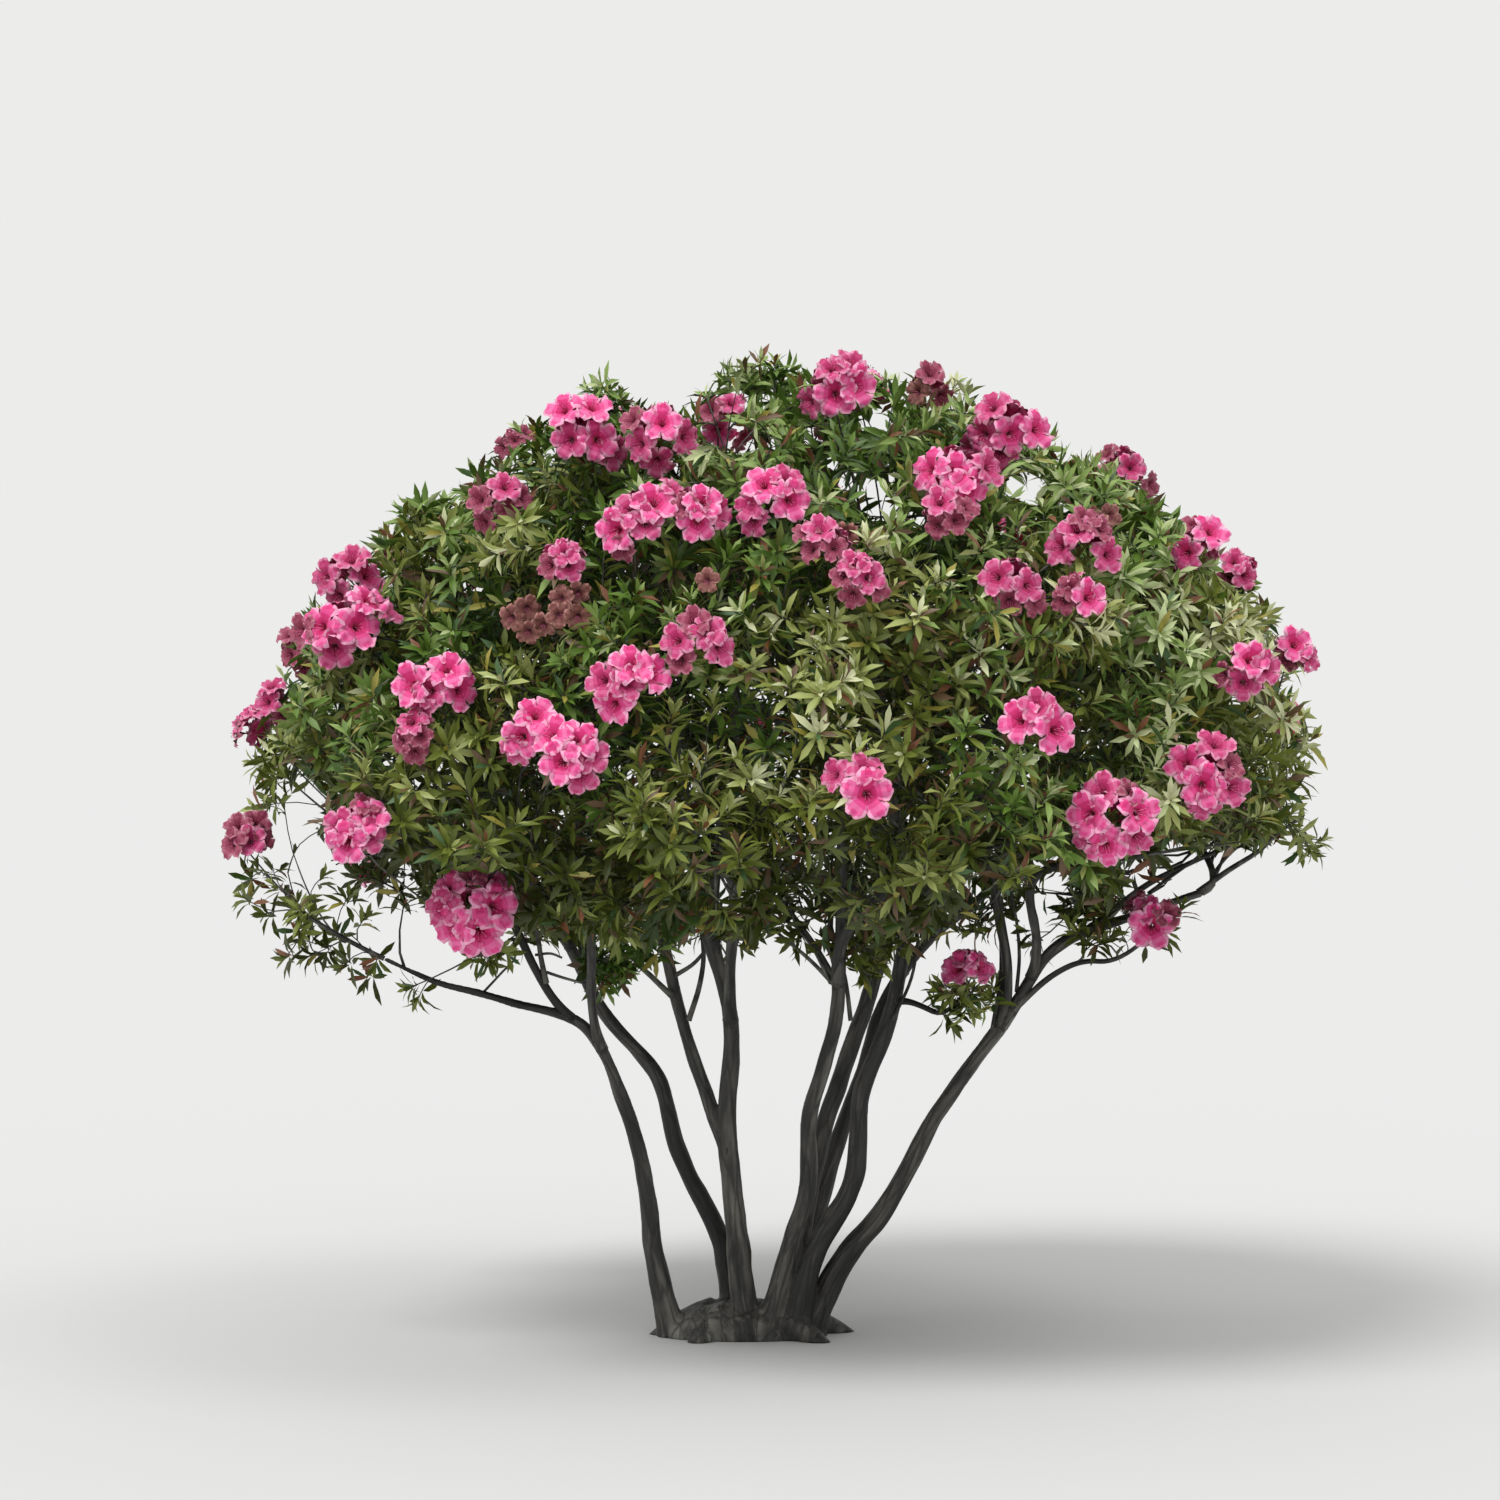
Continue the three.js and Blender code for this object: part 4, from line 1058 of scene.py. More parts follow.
sprigs = dict(
    layers=[(0.9, 0.98, 31, 30000), (0.8, 0.89, 37, 20000), (0.67, 0.78, 48, 12000),
            (0.5, 0.63, 68, 5500)],
    lumpSize=120, lumpLow=0.86, lumpHigh=0.99, lumpSwing=1.1,
    clearance=11, fromFlower=9, flowerCover=0.8, flowerBehind=6, fromGap=6, lowestTurn=-0.55,
    hollow=dict(middleX=40, halfWidth=300, halfDepth=280, top=680), fromTop=30, fromLow=8,
    ragSize=55, ragDepth=26, gapWarpSize=17, gapWarp=11, thinBand=85, thinnest=0.25,
    sprayDarts=260, spraySpacing=64, sprayShare=0.72, sprayDepth=40, sprayFromFlower=4, sprayOwn=1.3,
    stemStep=10, mainHandle=0.3, mainStraight=0.35, mainPoints=9, finePoints=4,
    forward=0.9, nearestFork=12, handle=0.42, sideScatter=0.12,
    footRadius=0.95, loadPower=0.36, tipRadius=0.85, mainTip=1.25, thickest=2.9,
    fromFeeder=[0.78, 0.82, 0.86, 0.9, 0.93, 0.96, 0.98],
)

# Whorls at the low sprays' ends, as the viewer sees them: across, up and how far forward
sprayWhorls = dict(
    spray_left_low=[
        (-671, 529, 150), (-647, 553, 80), (-640, 530, 110), (-589, 517, 150), (-559, 501, 90),
        (-498, 486, 130), (-721, 637, 70), (-730, 612, 120), (-655, 606, 150), (-668, 647, 60),
        (-584, 613, 160), (-539, 636, 100), (-505, 608, 140), (-620, 641, 90), (-700, 590, 90),
        (-600, 560, 60), (-560, 585, 60), (-690, 660, 130), (-651, 563, 130), (-711, 654, 90),
        (-659, 675, 60), (-487, 468, 110), (-511, 622, 110), (-637, 590, 100), (-545, 520, 120),
        (-615, 532, 90), (-572, 640, 70), (-687, 630, 150)],
    spray_right_low=[
        (508, 602, 120), (560, 566, 90), (584, 600, 130), (470, 596, 110), (500, 560, 60),
        (448, 640, 90), (478, 640, 140)],
    sprig_inner_right=[
        (250, 490, 90), (276, 465, 110), (308, 463, 70), (316, 500, 100), (238, 468, 60),
        (292, 482, 60), (262, 478, 120), (240, 482, 130), (262, 456, 90), (290, 452, 120),
        (318, 472, 90), (328, 488, 60), (300, 492, 140), (276, 488, 100)],
)

# More whorls in the dome, that hang below its edge or top it
domeWhorls = [
    (-245, 539, 70), (-227, 522, 60), (-235, 500, 64), (-222, 483, 60), (-207, 532, 70),
    (-192, 518, 60), (-203, 500, 50), (-182, 539, 64), (-168, 525, 60), (-214, 548, 50),
    (119, 602, 40), (136, 588, 10), (152, 602, -10), (127, 567, 30), (144, 556, 0),
    (158, 574, -30), (136, 536, 20), (150, 522, -20), (168, 546, -40), (116, 546, 50),
    (70, 596, 60), (88, 610, 30), (48, 618, 60), (170, 600, 20), (190, 588, -10),
    (438, 637, 80), (434, 616, 60), (445, 602, 90), (435, 584, 70), (447, 567, 60),
    (427, 598, 50), (455, 623, 60), (365, 567, 60), (360, 602, 40), (380, 620, 60),
    (372, 546, 50), (336, 596, 40), (749, 700, 20), (763, 679, 30), (780, 693, 10),
    (735, 714, 40), (752, 676, 0), (508, 640, 60), (490, 655, 60), (528, 660, 40),
    (-231, 1330, 20), (-216, 1324, -20), (-246, 1322, 0), (-203, 1316, 30), (-7, 1364, 0),
    (-30, 1356, 20), (-50, 1349, -10), (14, 1360, 30), (168, 1336, 0), (154, 1322, 20),
    (182, 1322, -20), (266, 1332, 0), (280, 1322, 20), (252, 1320, -20), (-343, 1264, 20),
    (-320, 1272, 0),
    (66, 588, 110), (85, 574, 120), (105, 602, 130), (119, 574, 90), (136, 553, 120),
    (150, 588, 100), (158, 532, 110), (175, 560, 120), (189, 588, 100), (200, 546, 90),
    (167, 609, 130), (231, 609, 60), (252, 595, 80), (273, 609, 50), (294, 588, 90),
    (315, 602, 60), (333, 588, 80), (245, 574, 60), (142, 512, 100), (128, 530, 130),
    (-340, 567, 60), (-329, 553, 80), (-308, 574, 70), (-231, 532, 80), (-214, 518, 90),
    (-245, 518, 84), (-224, 497, 80), (-200, 532, 84), (-192, 511, 70), (-175, 539, 76),
    (-154, 528, 60), (-136, 542, 70), (-63, 574, 60), (-42, 560, 70), (-21, 574, 50),
    (-32, 546, 60), (-56, 553, 40), (-7, 588, 70), (-384, 535, 120), (-410, 528, 130),
    (-238, 508, 96), (-210, 508, 60), (-165, 552, 90), (30, 606, 90), (48, 596, 60),
    (-562, 647, 90), (-536, 640, 70), (-548, 660, 110), (-518, 650, 90),
    (146, 545, 130), (160, 518, 130), (172, 536, 120), (134, 500, 120), (118, 556, 140),
    (104, 540, 130), (90, 590, 140), (182, 574, 140), (206, 566, 110), (222, 590, 100),
    (27, 578, 100), (49, 567, 110), (38, 553, 100), (60, 545, 110), (80, 552, 100),
    (266, 574, 70), (282, 564, 80), (296, 576, 60), (310, 567, 80), (-371, 541, 140),
    (-357, 530, 130), (-395, 545, 150), (-384, 520, 140), (426, 574, 90), (438, 562, 100),
    (452, 556, 90), (470, 550, 110), (486, 560, 90), (420, 590, 80), (-300, 560, 90),
    (-58, 1338, 20), (-40, 1342, 0), (-22, 1336, 20), (-4, 1346, -20), (16, 1344, 10),
    (36, 1350, 0), (-12, 1326, 10), (-218, 1310, 10), (-234, 1318, -10), (-204, 1304, 20),
]

# The crown's lower edge, from left to right: across and up
lowerEdge = [
    (-760, 760), (-700, 725), (-640, 720), (-590, 690), (-520, 640), (-440, 590), (-343, 574),
    (-265, 562), (-240, 500), (-215, 478), (-180, 500), (-165, 545), (-105, 560), (-78, 572),
    (-42, 540), (-14, 545), (7, 566), (36, 600), (63, 616), (100, 585), (160, 560), (190, 566),
    (230, 572), (260, 588), (330, 602), (360, 640), (415, 660), (440, 590), (480, 585),
    (500, 635), (555, 655), (610, 676), (680, 690), (760, 690)]

# The crown's upper edge, leafy tops and notches, from left to right: across and up
upperEdge = [
    (-760, 800), (-735, 890), (-700, 925), (-651, 1020), (-623, 1077), (-560, 1105),
    (-520, 1186), (-455, 1190), (-399, 1245), (-343, 1275), (-270, 1318), (-225, 1342),
    (-175, 1314), (-120, 1300), (-88, 1312), (-60, 1364), (20, 1373), (108, 1371),
    (140, 1350), (215, 1358), (262, 1348), (300, 1316), (385, 1286), (420, 1254),
    (470, 1253), (530, 1222), (575, 1158), (640, 1136), (668, 1112), (695, 1036),
    (750, 988), (778, 860), (800, 800)]

# Where the sky shows through: across, up, half width and half height, as the viewer sees them
skyGaps = [
    (147, 1173, 18, 26), (118, 1192, 10, 9), (176, 1158, 10, 12), (180, 1204, 9, 10),
    (160, 1277, 26, 12), (71, 1261, 17, 11), (7, 1250, 9, 11),
    (95, 1219, 10, 13), (119, 1201, 9, 13), (365, 1186, 30, 17), (214, 1141, 9, 18),
    (329, 1128, 10, 11), (354, 1116, 9, 9), (-1, 1310, 8, 12), (-32, 1310, 9, 12),
    (165, 1305, 10, 9), (-343, 1183, 14, 14), (-511, 1103, 8, 7), (-420, 1196, 14, 9),
    (665, 889, 11, 11), (-485, 782, 14, 11), (-530, 800, 10, 9), (-448, 800, 10, 10),
    (578, 676, 16, 12), (516, 660, 20, 12), (-60, 619, 15, 20), (64, 567, 10, 15),
    (102, 580, 8, 8), (157, 616, 7, 7), (304, 619, 9, 14), (374, 600, 17, 24),
    (-500, 640, 16, 20), (-420, 660, 9, 8), (-300, 1230, 10, 8), (-130, 1216, 9, 8),
    (420, 1160, 10, 8), (20, 1040, 7, 6), (-410, 1050, 8, 7), (240, 1010, 7, 7),
    (-600, 880, 9, 8), (560, 1010, 9, 8), (-655, 668, 40, 34), (-640, 740, 24, 30),
]

# Small limbs that show below the crown: the mass beside them, the radius at both ends, how far
# forward they stand, and their bends across and up as the viewer sees them
bareLimbs = [
    ("mass_middle_5", (4.2, 2.8), 36, [(-107, 440), (-92, 488), (-86, 530), (-90, 575)]),
    ("mass_middle_5", (4.4, 2.8), 34, [(-130, 474), (-157, 500), (-184, 527), (-205, 575)]),
    ("mass_middle_5", (3.4, 2.4), 34, [(-126, 503), (-101, 519), (-86, 535)]),
    ("mass_rim_6", (4.2, 2.4), 96, [(-306, 492), (-314, 530), (-318, 560), (-326, 600)]),
    ("mass_rim_6", (2.2, 1.8), 92, [(-306, 508), (-282, 500), (-252, 492)]),
    ("mass_rim_6", (2.0, 1.6), 92, [(-322, 532), (-300, 534), (-284, 528)]),
    ("mass_rim_6", (1.8, 1.3), 105, [(-394, 480), (-368, 508), (-350, 528), (-352, 552)]),
    ("mass_rim_10", (3.2, 1.8), 108, [(104, 482), (64, 524), (26, 556), (-4, 582)]),
    ("mass_rim_1", (4.6, 1.8), 60, [(606, 620), (648, 650), (692, 678), (716, 700), (752, 726)]),
    ("mass_rim_1", (2.6, 1.5), 64, [(536, 618), (566, 640), (594, 660), (640, 700)]),
    ("mass_rim_1", (3.4, 2.2), 56, [(318, 425), (330, 500), (330, 560), (326, 610)]),
    ("mass_rim_1", (2.8, 1.8), 58, [(352, 480), (356, 530), (352, 580), (344, 620)]),
    ("mass_rim_10", (5.4, 2.6), 106, [(102, 488), (72, 540), (46, 578), (22, 612)]),
    ("mass_rim_10", (3.4, 1.8), 96, [(120, 440), (112, 500), (96, 560), (84, 610)]),
    ("mass_rim_10", (3.0, 1.8), 60, [(150, 470), (136, 530), (142, 580), (134, 630)]),
    ("mass_rim_10", (2.4, 1.6), 104, [(58, 560), (40, 574), (14, 586), (-6, 606)]),
    ("mass_rim_1", (5.4, 2.4), 62, [
        (404, 536), (469, 581), (536, 631), (598, 662), (651, 686), (694, 716)]),
    ("mass_rim_10", (2.6, 1.6), 60, [(178, 440), (205, 500), (214, 560), (210, 620)]),
    ("mass_rim_10", (2.8, 1.7), 112, [(92, 492), (66, 544), (44, 572), (34, 606)]),
    ("mass_rim_10", (2.6, 1.7), 116, [(98, 510), (88, 556), (94, 604)]),
    ("mass_rim_10", (2.6, 1.8), 100, [(142, 490), (120, 545), (112, 604)]),
]


def spreadDarts(darts, spacing, taken):
    # keeps each dart that lies further than the spacing from those kept before it
    cells = {}
    for spot in taken:
        cells.setdefault(tuple((spot // spacing).astype(int)), []).append(spot)
    kept = []
    for spot in darts:
        home = (spot // spacing).astype(int)
        near = [other for dx in (-1, 0, 1) for dy in (-1, 0, 1) for dz in (-1, 0, 1)
                for other in cells.get((home[0] + dx, home[1] + dy, home[2] + dz), ())]
        if near and np.min(np.sum((np.array(near) - spot) ** 2, axis=1)) < spacing ** 2:
            continue
        cells.setdefault(tuple(home), []).append(spot)
        kept.append(spot)
    return np.array(kept).reshape(-1, 3)


def inGap(points, grow=0):
    # the gaps' outlines are warped, so that they are as irregular as those between real leaves
    seen = asSeen(points)
    places = (seen / sprigs["gapWarpSize"]).reshape(-1, 2)
    warp = [noise.noise_vector(Vector((x, z, 4.5)))[:2] for x, z in places]
    seen = seen + np.array(warp).reshape(seen.shape) * sprigs["gapWarp"]
    inside = np.zeros(seen.shape[:-1], dtype=bool)
    for across, height, halfWidth, halfHeight in skyGaps:
        reach = ((seen[..., 0] - across) / (halfWidth + grow)) ** 2
        inside |= reach + ((seen[..., 1] - height) / (halfHeight + grow)) ** 2 < 1
    return inside


def clearOfFlowers(points, margin, cover):
    # true for points outside every flower, that don't stand between the viewer and one of them
    seen = asSeen(points)
    clear = np.ones(len(points), dtype=bool)
    for bloom in blooms:
        reach = bloom["halfWidth"]
        away = np.linalg.norm(points - bloom["middle"], axis=1)
        clear &= away > reach * sprigs["flowerCover"] + margin
        if bloom["shown"]:
            apart = np.linalg.norm(seen - asSeen(bloom["middle"]), axis=1)
            nearer = points[:, 1] < bloom["middle"][1] + sprigs["flowerBehind"]
            clear &= ~(nearer & (apart < reach * cover * bloom["shown"]))
    return clear


def noiseAt(points, size, seed):
    return np.array([noise.noise(Vector(spot / size) + Vector((seed, 0, 0))) for spot in points])


def fromEdge(points, edge, seed, side):
    # how far points show above or below an edge of the crown, which is taken as ragged
    seen = asSeen(points)
    rag = noiseAt(points, sprigs["ragSize"], seed) * sprigs["ragDepth"]
    return side * (seen[:, 1] - np.interp(seen[:, 0], *np.array(edge, dtype=float).T)) + rag


def aboveLow(points):
    return fromEdge(points, lowerEdge, 3.5, 1)


def belowTop(points):
    return fromEdge(points, upperEdge, 8.5, -1)


def shownPlaces(rows):
    # places given as the viewer sees them: across, up and how far forward
    across, height, forward = np.array(rows, dtype=float).T
    upright = np.stack([across, 0 * across, height], axis=1)
    return viewer + (upright - viewer) * (1 + forward / viewer[1])[:, None]


def planSprigs():
    # places for the finer tips, layer by layer from the crown's outline inwards
    found = [np.array([tip["place"] for tip in sourceTips])]
    hollow = sprigs["hollow"]
    for nearest, furthest, spacing, count in sprigs["layers"]:
        outward = unit(rng.normal(size=(count, 3)))
        outward = outward[outward[:, 2] > sprigs["lowestTurn"]]
        measures = rng.uniform(nearest, furthest, len(outward))
        darts = crownPoint(outward, measures)
        lump = 0.5 + sprigs["lumpSwing"] * noiseAt(darts, sprigs["lumpSize"], 1.5)
        skin = lerp(sprigs["lumpLow"], sprigs["lumpHigh"], np.clip(lump, 0, 1))
        darts = darts[(crownMeasure(darts) < skin) & ~inGap(darts, sprigs["fromGap"])]
        darts = darts[belowTop(darts) > sprigs["fromTop"]]
        above = aboveLow(darts) - sprigs["fromLow"]
        share = lerp(sprigs["thinnest"], 1, np.clip(above / sprigs["thinBand"], 0, 1))
        darts = darts[(above > 0) & (rng.random(len(darts)) < share)]
        x, y, z = darts.T
        away = ((x - hollow["middleX"]) / hollow["halfWidth"]) ** 2 + (y / hollow["halfDepth"]) ** 2
        darts = darts[(away >= 1) | (z >= hollow["top"])]
        darts = darts[clearOfLimbs(darts, sprigs["clearance"])]
        darts = darts[clearOfFlowers(darts, sprigs["fromFlower"], sprigs["flowerCover"])]
        found.append(spreadDarts(darts, spacing, np.concatenate(found)))
    made = np.concatenate(found[1:])
    added = shownPlaces(domeWhorls)
    shown = [np.zeros(len(made), dtype=bool), np.ones(len(added), dtype=bool)]
    made = np.concatenate([made, added])
    for mass in masses:
        if mass["reach"] is None:
            continue
        ball = unit(rng.normal(size=(sprigs["sprayDarts"], 3)))
        ball *= rng.uniform(0.2, 1, (len(ball), 1)) ** (1 / 3) * sprigs["sprayShare"]
        ball[:, 1] = np.abs(ball[:, 1])
        darts = mass["hub"] + ball * mass["reach"]
        darts = darts[~inGap(darts)]
        darts = darts[clearOfFlowers(darts, sprigs["sprayFromFlower"], sprigs["flowerCover"])
                      & clearOfLimbs(darts, sprigs["clearance"])]
        before = len(made)
        made = np.concatenate([made, shownPlaces(sprayWhorls[mass["name"]])])
        made = np.concatenate([made, spreadDarts(darts, sprigs["spraySpacing"], made)])
        shown.append(np.ones(len(made) - before, dtype=bool))
    return made, np.concatenate(shown)


def ownersOf(points):
    owners = nearestDome(points)
    domes = [k for k, mass in enumerate(masses) if mass["reach"] is None]
    owners = np.array(domes)[owners]
    for k, mass in enumerate(masses):
        if mass["reach"] is not None:
            away = np.linalg.norm((points - mass["hub"]) / mass["reach"], axis=1)
            owners[away < sprigs["sprayOwn"]] = k
    return owners


sourceTips = []
for seed, mass in enumerate(masses):
    random = seededRandom(seed)
    foot = mass["entry"] + mass["feed"] * plan["stemStart"]
    bend = foot + mass["feed"] * plan["stemBend"] * np.linalg.norm(foot - mass["hub"])
    mass["stem"] = Limb(mass["name"], bezier([foot, bend, mass["hub"]], plan["stemPoints"]),
                        (mass["feedRadius"], plan["stemTip"] * mass["leafScale"]))
    run = unit(mass["hub"] - foot)
    tips = planTips(mass, random)
    for tip in tips:
        away = tip["place"] - foot
        tip["aside"] = np.linalg.norm(away - run * (away @ run))
    tips.sort(key=lambda tip: -tip["aside"])
    mass["tips"] = []
    for i, tip in enumerate(tips):
        share = lerp(plan["firstFork"], plan["lastFork"], i / max(len(tips) - 1, 1))
        fork = mass["stem"].at(share)
        tests = lerp(fork, tip["place"], np.linspace(0, 1, 13)[:, None])
        inside = all(inSpace(mass, spot, plan["twigFoot"]) for spot in tests)
        if mass["reach"] is not None:  # the low sprays don't hang lower than the photo shows
            inside = inside and tip["place"][2] > mass["hub"][2] - sprigs["sprayDepth"]
        if inside and np.all(clearOfLimbs(tests[2:], plan["twigFoot"])):
            mass["tips"].append(dict(tip, fork=fork, along=mass["stem"].tangentAt(share)))
    sourceTips += mass["tips"]

sprigPlaces, sprigShown = planSprigs()
owners = ownersOf(sprigPlaces)
print("twigs:", len(sourceTips), "of the source's tips,", len(sprigPlaces), "finer ones")


def growTwigs(mass, places, shown):
    # each finer twig forks from the nearest older one that points its way
    stem = mass["stem"]
    shares = np.linspace(0.05, 1, max(4, int(stem.length / sprigs["stemStep"])))
    points = list(stem.at(shares))
    ways = [stem.tangentAt(share) for share in shares]
    if mass["reach"] is not None:  # the limb that feeds a low spray bears some too
        for share in sprigs["fromFeeder"]:
            points.append(mass["limb"].at(share))
            ways.append(mass["limb"].tangentAt(share))
    bearers = [-1] * len(points)
    twigs = []
    for tip in mass["tips"]:
        reach = np.linalg.norm(tip["place"] - tip["fork"])
        bow = tip["fork"] + tip["along"] * reach * sprigs["mainHandle"]
        bow = lerp(bow, lerp(tip["fork"], tip["place"], 0.5), sprigs["mainStraight"])
        line = bezier([tip["fork"], bow, tip["place"]], sprigs["mainPoints"])
        twigs.append(dict(line=line, load=0, bearer=-1, kind="main", tip=tip, free=False))
        for spot, way in zip(line[2:], unit(np.gradient(line, axis=0))[2:]):
            points.append(spot)
            ways.append(way)
            bearers.append(len(twigs) - 1)
    order = np.argsort(np.linalg.norm(places - mass["entry"], axis=1))
    for spot, free in zip(places[order], shown[order]):
        known, headings = np.array(points), np.array(ways)
        away = spot - known
        reach = np.linalg.norm(away, axis=1)
        turn = np.sum(away / reach[:, None] * headings, axis=1)
        cost = reach * (1 + sprigs["forward"] * (1 - turn)) + 1e6 * (reach < sprigs["nearestFork"])
        best = int(np.argmin(cost))
        fork, way, reach = known[best], headings[best], reach[best]
        side = unit(rng.normal(size=3)) * reach * sprigs["sideScatter"]
        bow = fork + unit(way + unit(spot - fork)) * reach * sprigs["handle"] + side
        line = bezier([fork, bow, spot], sprigs["finePoints"])
        bearer = bearers[best]
        twigs.append(dict(line=line, load=0, bearer=bearer, kind="fine", tip=None, free=free))
        for other, turned in zip(line[1:], unit(np.gradient(line, axis=0))[1:]):
            points.append(other)
            ways.append(turned)
            bearers.append(len(twigs) - 1)
    for twig in reversed(twigs):
        if twig["bearer"] >= 0:
            twigs[twig["bearer"]]["load"] += twig["load"] + 1
    for twig in twigs:
        thick = min(sprigs["footRadius"] * (1 + twig["load"]) ** sprigs["loadPower"],
                    sprigs["thickest"])
        thin = sprigs["tipRadius"] * (sprigs["mainTip"] if twig["kind"] == "main" else 1)
        twig["radii"] = np.linspace(max(thick, thin), thin, len(twig["line"]))
    return twigs


for k, mass in enumerate(masses):
    mass["twigs"] = growTwigs(mass, sprigPlaces[owners == k], sprigShown[owners == k])


# Leaves: one modelled leaf in three postures, set in whorls at the twigs' ends

leafLook = dict(
    length=42, width=9.2, arch=0.06,
    rows=[(0, 0.01), (0.3, 0.37), (0.66, 0.5), (1, 0)],  # along a leaf, and its half width there
    postures=[(0.1, 0.032), (0.22, 0.044), (0.02, 0.02)],  # the tip's drop, and the fold
    whorls=[  # at a twig's end, round a truss, lower on a twig, and in a ring of flowers
        dict(count=12, lowest=88, highest=22, back=16, shortest=0.5, longest=1),
        dict(count=10, lowest=88, highest=70, back=14, shortest=0.9, longest=1.25),
        dict(count=6, lowest=76, highest=50, back=14, shortest=0.8, longest=0.95),
        dict(count=9, lowest=82, highest=20, back=8, shortest=0.5, longest=0.8)],
    rise=0.35, lowerRise=0.1, heartBack=12, heartSize=0.75, openSize=0.8, underTruss=4,
    lowerWhorl=30, fromLimb=12, inFront=0.78, shownScale=0.9, sideScatter=0.18, across=0.1,
    widthPower=0.7, lengthPower=1.6, belowEdge=18, overTop=20,
    turnScatter=0.12, leanScatter=9, lengths=(0.84, 1.16),
    odd=[(0, 0.03), (0.9, 0.93), (0.93, 0.975), (0.975, 1)],  # draws for each odd leaf, in turn
)

# How light a leaf is (0 the darkest tone, 1 the palest), and how olive (above 0.5)
leafShade = dict(
    base=0.45, patches=[(0.3, 150, 0), (0.24, 40, 9)],  # how strong, how large, and seed
    # skin darkens leaves deep in the crown and pales those on its outline, low darkens those near the
    # lower edge, right lightens the right side: painted shade and painted light
    young=0.28, skin=2.2, paintedShadeFrom=0.9, sideReach=600,
    low=0.32, paintedShadeBand=170, right=0.14, sprayScatter=0.09, scatter=0.05,
    olivePatch=(1.5, 210, 5), oliveMiddle=880, oliveFade=700, oliveFront=0.3, oliveScatter=0.15,
)


def modelLeaf(name, drop, fold):
    rows = leafLook["rows"]
    deselectAll()
    bpy.ops.mesh.primitive_grid_add(x_subdivisions=2, y_subdivisions=len(rows) - 1, size=1,
                                    location=(0, 0.5, 0))
    leaf = bpy.context.object
    leaf.name = name
    bpy.ops.object.transform_apply(location=True)
    bpy.ops.object.mode_set(mode="EDIT")
    for k, (along, halfWidth) in enumerate(rows):
        level = k / (len(rows) - 1)
        pick(leaf, lambda spot: abs(spot.y - level) < 0.01 and abs(spot.z) < 1e-5)
        if halfWidth < 0.1:
            bpy.ops.mesh.merge(type="CENTER")
            pick(leaf, lambda spot: abs(spot.y - level) < 0.01 and abs(spot.z) < 1e-5)
        else:
            bpy.ops.transform.resize(value=(2 * halfWidth, 1, 1), center_override=(0, level, 0))
        rise = leafLook["arch"] * math.sin(math.pi * along) - drop * along ** 2 + 0.001
        bpy.ops.transform.translate(value=(0, along - level, rise))
    pick(leaf, lambda spot: abs(spot.x) > 0.1)  # the margins
    bpy.ops.transform.translate(value=(0, 0, fold))
    bpy.ops.object.mode_set(mode="OBJECT")
    return patternOf(leaf)


leafPatterns = [modelLeaf(f"leafPattern{k}", *posture)
                for k, posture in enumerate(leafLook["postures"])]
firstOdd = len(leafTones) * len(leafSteps)
limbTree = treeOf(limbPoints)


def gatherWhorls(mass):
    # where a mass's leaves sit: place, axis, size and kind of whorl
    rows = []
    for twig in mass["twigs"]:
        line = twig["line"]
        free = twig["free"] or mass["reach"] is not None
        size = leafLook["shownScale"] if free else 1
        head = unit(line[-1] - line[-2])
        tip = twig["tip"]
        if tip and tip["radius"]:
            axis = tip["axis"]
            rows.append((line[-1] - axis * leafLook["underTruss"], axis, size, 1, free))
        else:
            rows.append((line[-1], unit(head + place(0, 0, leafLook["rise"])), size, 0, free))
            if not free:
                lower = lerp(line[-1], line[-2],
                             min(1, leafLook["lowerWhorl"] / np.linalg.norm(line[-1] - line[-2])))
                rows.append((lower, unit(head + place(0, 0, leafLook["lowerRise"])), size, 2, free))
    for truss in trusses:
        if truss["mass"] is mass and truss["heart"]:
            heart = shownPlaces([(*truss["heart"], -truss["middle"][1])])[0]
            view = unit(viewer - heart)
            rows.append((heart - view * leafLook["heartBack"], view, leafLook["heartSize"], 3, True))
        elif truss["mass"] is mass and truss["open"]:
            rows.append((truss["middle"], truss["axis"], leafLook["openSize"], 3, True))
    return rows


def toneOf(places, young, draw):
    # leaves deep in the crown and near its lower edge get darker tones, painted shade; the tips on the
    # crown's skin and the right side get paler ones, painted light; young leaves at a whorl's middle
    # are paler; greener and more olive patches alternate, and the low front is the most olive
    shade = leafShade
    x, y, z = places.T
    light = shade["base"]
    for strength, size, seed in shade["patches"]:
        light = light + strength * noiseAt(places, size, seed)
    light = light + draw
    # deeper in the crown a leaf is darker and on its outline paler: painted shade and painted light
    outer = np.minimum(crownMeasure(places), 1) - shade["paintedShadeFrom"]
    light += shade["young"] * young + shade["skin"] * outer
    # near the crown's lower edge a leaf is darker: painted shade
    light -= shade["low"] * np.clip(1 - aboveLow(places) / shade["paintedShadeBand"], 0, 1)
    # the right side is lighter: painted light
    light += shade["right"] * np.clip(x / shade["sideReach"], -0.3, 1)
    strength, size, seed = shade["olivePatch"]
    olive = 0.5 + strength * noiseAt(places, size, seed)
    olive -= (z - shade["oliveMiddle"]) / shade["oliveFade"]
    olive += (shade["oliveFront"] * np.clip(-y / shade["sideReach"], -0.5, 1)
              + shade["oliveScatter"] * rng.normal(size=len(places)))
    count = len(leafSteps)
    steps = np.clip((light * count).astype(int), 0, count - 1)
    return np.where(olive > 0.5, steps, steps + count)


